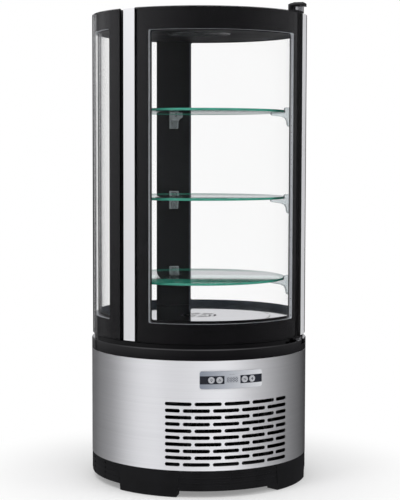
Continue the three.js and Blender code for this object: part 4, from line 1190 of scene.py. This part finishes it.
class CABINET_OT_brackets(bpy.types.Operator):
    """Nine clear brackets with a web, a seat and a lip"""

    bl_idname = "cabinet.brackets"
    bl_label = "Shelf brackets"

    def execute(self, context):
        # The web's lower edge, as shares of its reach and its drop
        shares = ((0.97, 0.0), (1.0, 0.075), (0.98, 0.17), (0.91, 0.22), (0.5, 0.3), (0.36, 0.4), (0.28, 0.6),
                  (0.26, 0.84), (0.22, 0.96), (0.14, 1.0))
        root, reach, drop, lip_height, lip, corner = 211.7, 49.5, 32.0, 10.5, 192.9, 4.0
        for bay, side in enumerate(SIDES):
            for level, shelf in enumerate(SHELF_HEIGHTS):
                seat = shelf - 0.3
                top = seat + lip_height
                outline = [(root, top), (lip + corner, top)]
                for i in range(1, 4):
                    t = math.radians(30.0 * i)
                    outline.append((lip + corner - corner * math.sin(t), top - corner + corner * math.cos(t)))
                outline.append((lip, seat))
                outline += [(212.0 - a * reach, seat - b * drop) for a, b in shares]
                outline.append((root, seat - drop))
                shape = bmesh.new()
                webbed(shape, outline, 9.5)
                eased(shape, 1.1, 2, 50.0)
                turn_to(shape, PILLAR_ANGLE + PILLAR_TURN * bay)
                piece("%s_bracket_%d" % (side, level + 1), shape, "cabinet",
                      ["bracket_plastic"], ["shelf_%d_%s_bracket" % (level + 1, side)])
        return {"FINISHED"}


class CABINET_OT_shelves(bpy.types.Operator):
    """Three round glass shelves with ground green rims"""

    bl_idname = "cabinet.shelves"
    bl_label = "Glass shelves"

    def execute(self, context):
        for level, bottom in enumerate(SHELF_HEIGHTS):
            shape = bmesh.new()
            top = bottom + SHELF_THICKNESS
            turned(shape, [
                (191.5, bottom), (192.05, bottom + 0.25), (192.3, bottom + 0.8), (192.3, top - 0.8),
                (192.05, top - 0.25), (191.5, top),
            ], 180)
            bmesh.ops.recalc_face_normals(shape, faces=shape.faces)
            for face in shape.faces:
                face.material_index = 0 if abs(face.normal.z) > 0.99 else 1
            piece("shelf_glass_%d" % (level + 1), shape, "cabinet",
                  ["clear_shelf", "shelf_rim"], ["glass_shelf_%d" % (level + 1)])
        return {"FINISHED"}


class CABINET_OT_cabin_floor(bpy.types.Operator):
    """Mirror-bright floor plate with its fan grille and return slots"""

    bl_idname = "cabinet.cabin_floor"
    bl_label = "Cabin floor"

    def execute(self, context):
        plate = bmesh.new()
        low, high = FLOOR_TOP - 3.0, FLOOR_TOP
        turned(plate, [(218.9, low), (219.1, low + 0.2), (219.1, high - 0.3), (218.8, high)], 180)
        hub, rib, width = 12.0, 6.0, 16.0 / 3
        rows = []
        for ring in range(3):
            inner = hub + ring * (width + rib)
            rows.append((inner, inner + width, 60.0, 30.0 - arc(rib, inner + width) / 2))
        rows.append((159.4, 161.8, 30.0, 10.0))
        for inner, outer, pitch, half in rows:
            plate = self.pierced(plate, self.drill(inner, outer, half), pitch)
        piece("floor_plate", plate, "cabinet", ["mirror_floor"], ["cabin_floor"])
        return {"FINISHED"}

    def drill(self, inner, outer, half, count=6):
        """The body of one opening between two radii, taller than the plate."""
        angles = [-half + 2 * half * i / count for i in range(count + 1)]
        ends = [at(outer, a).xy for a in angles] + [at(inner, a).xy for a in reversed(angles)]
        shape = bmesh.new()
        raised(shape, ends, FLOOR_TOP - 8.0, FLOOR_TOP + 5.0)
        bmesh.ops.recalc_face_normals(shape, faces=shape.faces)
        return shape

    def pierced(self, plate, drill, pitch):
        """Cuts a drill out of a plate all the way round, with the Pierce in a ring tree."""
        layers = plate.faces.layers.float
        mark = layers.get("drill") or layers.new("drill")
        for face in plate.faces:
            face[mark] = 0.0
        plain = len(plate.faces)
        merge(plate, drill)
        plate.faces.ensure_lookup_table()
        mark = plate.faces.layers.float.get("drill")
        for face in plate.faces[plain:]:
            face[mark] = 1.0
        return grown("Pierce in a ring", pierce_tree, {
            "Count": round(360.0 / pitch), "Angle step": math.radians(pitch),
            "Finish": finish("mirror_floor"),
        }, plate)


class CABINET_OT_roof(bpy.types.Operator):
    """Roof with its lamp recess and seam, and the smoked ceiling lamp"""

    bl_idname = "cabinet.roof"
    bl_label = "Roof and lamp"

    def execute(self, context):
        shape = bmesh.new()
        turned(shape, [
            (70.3, 997.3), (70.3, 990.6), (70.9, 990.0), (218.8, 990.0), (219.4, 990.6), (219.4, 1020.8),
            (219.0, 1022.2), (218.0, 1023.4), (216.6, 1024.0), (200.0, 1024.0), (199.2, 1023.2),
            (198.4, 1023.2), (197.6, 1024.0), (60.0, 1024.0), (0.5, 1024.0),
        ], 180)
        piece("roof", shape, "cabinet", ["matt_black"], ["roof_cap"])
        lens = bmesh.new()
        profile = [(0.5, 997.0), (70.0, 997.0), (70.0, 991.2), (69.0, 990.2)]
        for ring in range(11):
            radius = 66.0 - 6.0 * ring
            profile += [(radius, 990.2), (radius - 1.0, 990.9), (radius - 4.5, 990.9), (radius - 5.5, 990.2)]
        turned(lens, profile, 96)
        piece("lamp_lens", lens, "cabinet", ["smoked_lens"], ["ceiling_lamp"])
        return {"FINISHED"}


class CABINET_OT_hinges(bpy.types.Operator):
    """The door's two pivot hinges: fixed brackets with their pins, black leaves and chrome knuckles"""

    bl_idname = "cabinet.hinges"
    bl_label = "Hinges"

    def execute(self, context):
        # Each hinge's leaf and knuckle, as their lowest and highest levels
        rows = (("top", 1029.4, 1032.4, 1032.6, 1043.5), ("bottom", 320.8, 324.6, 307.7, 320.6))
        for place, low, high, knuckle_low, knuckle_high in rows:
            leaf = bmesh.new()
            swept(leaf, [(223.5, low), (238.5, low), (238.5, high), (223.5, high)],
                  HINGE_ANGLE - 13.3, HINGE_ANGLE - 2.4, 1.0)
            eased(leaf, 0.5)
            merge(leaf, self.collar(KNUCKLE_BORE, 10.8, low, high))
            for back in (11.4, 6.8):
                screw = bmesh.new()
                rod(screw, 2.9, (0, -231.0, low - 0.6), (0, -231.0, low + 0.4), 20)
                turn_to(screw, HINGE_ANGLE - back)
                merge(leaf, screw)
            piece("door_" + place + "_leaf", leaf, "door", ["gloss_enamel"],
                  ["door_" + place + "_hinge_leaf"])
            piece("door_" + place + "_knuckle", self.collar(KNUCKLE_BORE, 10.9, knuckle_low, knuckle_high),
                  "door", ["polished_chrome"])

        bracket = bmesh.new()
        webbed(bracket, [
            (188.9, 1024.4), (214.7, 1024.4), (214.7, 1044.1), (240.6, 1044.1), (241.0, 1044.6),
            (241.0, 1050.6), (239.0, 1052.6), (219.3, 1052.6), (205.8, 1048.6), (205.8, 1030.3),
            (188.9, 1030.3),
        ], 12.9)
        bmesh.ops.recalc_face_normals(bracket, faces=bracket.faces)
        eased(bracket, 0.8, 2, 20.0)
        for across in (-7.0, 7.0):
            rod(bracket, 2.8, (across, -212.0, 1049.6), (across, -212.0, 1051.4), 20)
        turn_to(bracket, HINGE_ANGLE)
        self.pin(bracket, 1029.4, 1046.0)
        piece("top_bracket", bracket, "cabinet", ["gloss_enamel"], ["top_hinge_bracket"])

        foot = self.collar(0.0, 10.9, 305.4, 307.2)
        self.pin(foot, 306.0, 324.6)
        piece("bottom_bracket", foot, "cabinet", ["gloss_enamel"], ["bottom_hinge_bracket"])
        return {"FINISHED"}

    def pin(self, shape, low, high):
        """A pin on the hinge axis."""
        rod(shape, PIN_RADIUS, *(at(HINGE_RADIUS, HINGE_ANGLE, level) for level in (low, high)))

    def collar(self, inner, outer, low, high):
        """A round collar about the hinge axis, with eased rims."""
        made = bmesh.new()
        if inner:
            swept(made, [
                (inner, low), (outer - 0.6, low), (outer, low + 0.6), (outer, high - 0.6),
                (outer - 0.6, high), (inner, high),
            ], step=9.0)
        else:
            turned(made, [
                (outer - 0.4, low), (outer, low + 0.4), (outer, high - 0.4), (outer - 0.4, high),
            ], 40)
        bmesh.ops.translate(made, vec=at(HINGE_RADIUS, HINGE_ANGLE), verts=made.verts)
        return made


class CABINET_OT_base_tray(bpy.types.Operator):
    """The pressed tray that the cooling parts stand on, and the pins in the mains inlet"""

    bl_idname = "cabinet.base_tray"
    bl_label = "Base tray and inlet pins"

    def execute(self, context):
        tray = bmesh.new()
        turned(tray, [
            (236.0, 57.4), (239.3, 57.4), (239.3, 61.6), (238.9, 62.0), (238.0, 62.0), (237.7, 61.6),
            (237.7, 59.6), (237.0, 59.2), (214.0, 59.2), (213.0, 58.6), (206.0, 58.6), (205.0, 59.2),
            (150.0, 59.2), (20.0, 59.2),
        ], 144)
        # painted shade: the tray is near black so the space behind the air slots reads black
        piece("base_tray", tray, "cabinet", ["painted_shade_sheet"], ["base_pan"])
        pins = bmesh.new()
        for across, low in ((-9.0, 91.0), (0.0, 93.0), (9.0, 91.0)):
            pin = bmesh.new()
            block(pin, (across - 2.0, -237.0, low), (across + 2.0, -219.5, low + 2.0))
            eased(pin, 0.4, 1)
            merge(pins, pin)
        turn_to(pins, 180.0)
        piece("inlet_pins", pins, "cabinet", ["polished_chrome"])
        return {"FINISHED"}


class CABINET_OT_carried_nodes(bpy.types.Operator):
    """Finishes for the nodes that stay as they are"""

    bl_idname = "cabinet.carried_nodes"
    bl_label = "Carried nodes"

    def execute(self, context):
        rows = {
            "moulded_black": ("power_inlet", "controller_box", "evaporator_fan_motor", "evaporator_fan_rotor",
                              "condenser_fan_shroud", "condenser_fan_motor", "condenser_fan_rotor"),
            "white_liner": ("insulated_tub",),
            "satin_aluminium": ("evaporator_coil",),
            "compressor_enamel": ("compressor",),
            # the condenser coil is matt black: black-coated fins, and a dark colour chosen as painted shade
            # for the space behind the air slots
            "matt_black": ("condenser_coil",),
        }
        for name, nodes in rows.items():
            for node in nodes:
                finish_node(node, name)
        return {"FINISHED"}


# ---------------------------------------------------------------- studio


# The room that gloss sees, as grey levels by the angle from the camera's side: its low band and the rest
ROOM_LOW = (
    (-180, 0.58), (-171, 0.58), (-169, 0.02), (-160, 0.02), (-158, 0.3), (-152, 0.3), (-147, 0.08),
    (-143, 0.08), (-138, 0.2), (-118, 0.3), (-68, 0.34), (-48, 0.27), (-30, 0.18), (0, 0.09), (44, 0.09),
    (69, 0.16), (80, 0.2), (104, 0.2), (120, 0.17), (135, 0.11), (146, 0.08), (166, 0.03), (169, 0.03),
    (171, 0.58), (180, 0.58),
)
ROOM_HIGH = (
    (-180, 0.03), (-161, 0.02), (-156, 0.14), (-145, 0.17), (-128, 0.19), (-115, 0.27), (-104, 0.37),
    (-94, 0.61), (-76, 0.85), (-53, 0.92), (-39, 0.74), (-12, 0.79), (6, 0.89), (33, 1.0), (47, 0.88),
    (61, 0.66), (77, 0.57), (95, 0.39), (116, 0.21), (129, 0.16), (148, 0.11), (158, 0.02), (180, 0.03),
)

# The fitted view: lengths in pixels of the photograph, sensor in millimetres, sideways step in metres
PHOTO_WIDTH, PHOTO_HEIGHT, FOCAL_LENGTH, VIEW_CENTRE = 400.0, 500.0, 1390.5, 188.1
SENSOR, CAMERA_STEP, CAMERA_ROLL = 36.0, 0.0246, 0.0016


class CABINET_OT_studio(bpy.types.Operator):
    """Pale floor, soft room light, lamps and the camera"""

    bl_idname = "cabinet.studio"
    bl_label = "Studio"

    def execute(self, context):
        self.room(context)
        self.floor()
        self.lamps()
        self.camera(context)
        scene = context.scene
        scene.view_settings.view_transform = "Standard"
        scene.cycles.max_bounces = 24
        scene.cycles.transparent_max_bounces = 40
        return {"FINISHED"}

    def room(self, context):
        """White to the camera; to gloss, a room that is bright at the front and dark at the sides."""
        studio = context.scene.cabinet_studio
        world = bpy.data.worlds.new("room")
        context.scene.world = world
        world.use_nodes = True
        world.cycles.sampling_method = "NONE"
        tree = world.node_tree
        tree.nodes.clear()
        way = put(tree, "ShaderNodeMapping", {
            "Vector": put(tree, "ShaderNodeTexCoord").outputs["Generated"],
            "Rotation": (0.0, 0.0, -studio.azimuth),
        }, vector_type="POINT")
        across, ahead, up = put(tree, "ShaderNodeSeparateXYZ", {0: way}).outputs
        angle = sums(tree, "ARCTAN2", across, sums(tree, "MULTIPLY", ahead, -1.0))
        place = sums(tree, "MULTIPLY_ADD", angle, 1.0 / (2.0 * math.pi), 0.5)
        high = scaled(tree, self.ramp(tree, place, ROOM_HIGH), studio.window_light)
        low = scaled(tree, self.ramp(tree, place, ROOM_LOW), mapped(tree, up, -0.12, 0.08, 0.55, 1.3))
        blend = mapped(tree, sums(tree, "ABSOLUTE", up), 0.18, 0.3, kind="SMOOTHSTEP")
        seen = put(tree, "ShaderNodeMix", {"Factor": blend, 6: low, 7: high}, data_type="RGBA").outputs[2]
        light = put(tree, "ShaderNodeLightPath").outputs
        white = (1, 1, 1, 1)
        even, gloss, plain = (
            put(tree, "ShaderNodeBackground", {"Color": colour, "Strength": strength})
            for colour, strength in ((white, studio.daylight), (seen, 1.0), (white, 1.0))
        )
        first = put(tree, "ShaderNodeMixShader", {0: light["Is Glossy Ray"], 1: even, 2: gloss})
        clear = sums(tree, "MAXIMUM", light["Is Camera Ray"], light["Is Transmission Ray"])
        second = put(tree, "ShaderNodeMixShader", {0: clear, 1: first, 2: plain})
        put(tree, "ShaderNodeOutputWorld", {"Surface": second})

    def ramp(self, tree, place, stops):
        """A ring of grey steps round the room, from behind, by the left, the front and the right."""
        node = put(tree, "ShaderNodeValToRGB", {0: place})
        elements = node.color_ramp.elements
        while len(elements) > 1:
            elements.remove(elements[-1])
        for index, (angle, level) in enumerate(stops):
            spot = (angle + 180.0) / 360.0
            element = elements[0] if index == 0 else elements.new(spot)
            element.position = spot
            element.color = (level, level, level * 1.03, 1.0)
        return node

    def floor(self):
        """A pale floor that takes the shadow and runs out to plain white."""
        shape = bmesh.new()
        count = 96
        angles = [360.0 * i / count for i in range(count)]
        rings = [[shape.verts.new(at(r, angle, -0.4)) for angle in angles] for r in (3.0, 12000.0)]
        for i in range(count):
            k = (i + 1) % count
            shape.faces.new((rings[0][i], rings[1][i], rings[1][k], rings[0][k]))
        shape.faces.new(rings[0])
        material, tree = bare_material("studio_floor", (0.8, 0.8, 0.8, 1.0))
        matt = put(tree, "ShaderNodeBsdfDiffuse", {"Color": (0.9, 0.9, 0.9, 1.0)})
        white = put(tree, "ShaderNodeEmission", {"Color": (1, 1, 1, 1), "Strength": 1.0})
        away = put(tree, "ShaderNodeVectorMath", {0: own_place(tree)}, operation="LENGTH").outputs["Value"]
        fade = mapped(tree, away, 0.2, 0.6, 0.25, kind="SMOOTHSTEP")
        light = put(tree, "ShaderNodeLightPath").outputs
        seen = sums(tree, "MULTIPLY", fade, light["Is Camera Ray"])
        near = put(tree, "ShaderNodeMixShader", {0: seen, 1: matt, 2: white})
        gone = put(tree, "ShaderNodeBsdfTransparent")
        both = put(tree, "ShaderNodeMixShader", {0: light["Is Glossy Ray"], 1: near, 2: gone})
        put(tree, "ShaderNodeOutputMaterial", {"Surface": both})
        mesh = metres("studio_floor", shape)
        mesh.materials.append(material)
        ground = bpy.data.objects.new("studio_floor", mesh)
        bpy.context.scene.collection.objects.link(ground)

    def lamps(self):
        """Two soft lamps, left and right of the camera."""
        rows = (
            ("key_lamp", (-0.85, -0.55, 1.62), (-0.2, -0.13, 0.8), 0.5, 6.1),
            ("fill_lamp", (2.4, -1.8, 1.6), (0, 0, 0.5), 1.4, 20.0),
        )
        for name, place, aim, size, power in rows:
            data = bpy.data.lights.new(name, "AREA")
            data.shape = "DISK"
            data.size = size
            data.energy = power
            lamp = bpy.data.objects.new(name, data)
            lamp.location = place
            lamp.rotation_mode = "QUATERNION"
            lamp.rotation_quaternion = (Vector(aim) - Vector(place)).to_track_quat("-Z", "Y")
            lamp.visible_glossy = False
            bpy.context.scene.collection.objects.link(lamp)

    def camera(self, context):
        """The photograph's viewing angle."""
        studio = context.scene.cabinet_studio
        data = bpy.data.cameras.new("camera")
        data.sensor_fit = "AUTO"
        data.sensor_width = SENSOR
        data.lens = FOCAL_LENGTH / PHOTO_HEIGHT * SENSOR
        data.shift_x = (PHOTO_WIDTH / 2 - VIEW_CENTRE) / PHOTO_HEIGHT
        data.clip_end = 50.0
        camera = bpy.data.objects.new("camera", data)
        back = Vector((math.sin(studio.azimuth), -math.cos(studio.azimuth), 0.0))
        right = Vector((-back.y, back.x, 0.0))
        camera.location = back * studio.distance - right * CAMERA_STEP + Vector((0, 0, studio.height))
        ahead = (-back) * math.cos(studio.tilt) - Vector((0, 0, math.sin(studio.tilt)))
        camera.rotation_mode = "QUATERNION"
        level = ahead.to_track_quat("-Z", "Y")
        camera.rotation_quaternion = level @ Matrix.Rotation(CAMERA_ROLL, 3, "Z").to_quaternion()
        context.scene.collection.objects.link(camera)
        context.scene.camera = camera


# ---------------------------------------------------------------- add-on

PIECES = (
    CABINET_OT_plinth, CABINET_OT_front_wrap, CABINET_OT_rear_cover, CABINET_OT_top_ring,
    CABINET_OT_control_panel, CABINET_OT_buttons, CABINET_OT_panes, CABINET_OT_borders, CABINET_OT_strips,
    CABINET_OT_pillars, CABINET_OT_brackets, CABINET_OT_shelves, CABINET_OT_cabin_floor, CABINET_OT_roof,
    CABINET_OT_hinges, CABINET_OT_base_tray, CABINET_OT_carried_nodes, CABINET_OT_studio,
)


class CABINET_PT_pieces(bpy.types.Panel):
    """Sizes, colours and the steps that make the cabinet"""

    bl_idname = "CABINET_PT_pieces"
    bl_label = "Display cabinet"
    bl_space_type = "VIEW_3D"
    bl_region_type = "UI"
    bl_category = "Cabinet"

    def draw(self, context):
        layout = self.layout
        for name, kind in GROUPS:
            box = layout.box()
            for setting in kind.__annotations__:
                box.prop(getattr(context.scene, name), setting)
        for step in PIECES:
            layout.operator(step.bl_idname)


GROUPS = (
    ("cabinet_sizes", CabinetSizes), ("cabinet_colours", CabinetColours), ("cabinet_studio", StudioSettings),
)


def register():
    for name, group in GROUPS:
        bpy.utils.register_class(group)
        setattr(bpy.types.Scene, name, bpy.props.PointerProperty(type=group))
    for step in (*PIECES, CABINET_PT_pieces):
        bpy.utils.register_class(step)


def unregister():
    for step in reversed((*PIECES, CABINET_PT_pieces)):
        bpy.utils.unregister_class(step)
    for name, group in reversed(GROUPS):
        delattr(bpy.types.Scene, name)
        bpy.utils.unregister_class(group)


def main():
    """Makes every piece in order."""
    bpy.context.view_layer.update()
    register()
    for step in PIECES:
        getattr(bpy.ops.cabinet, step.bl_idname.split(".")[1])()


if __name__ == "__main__":
    main()
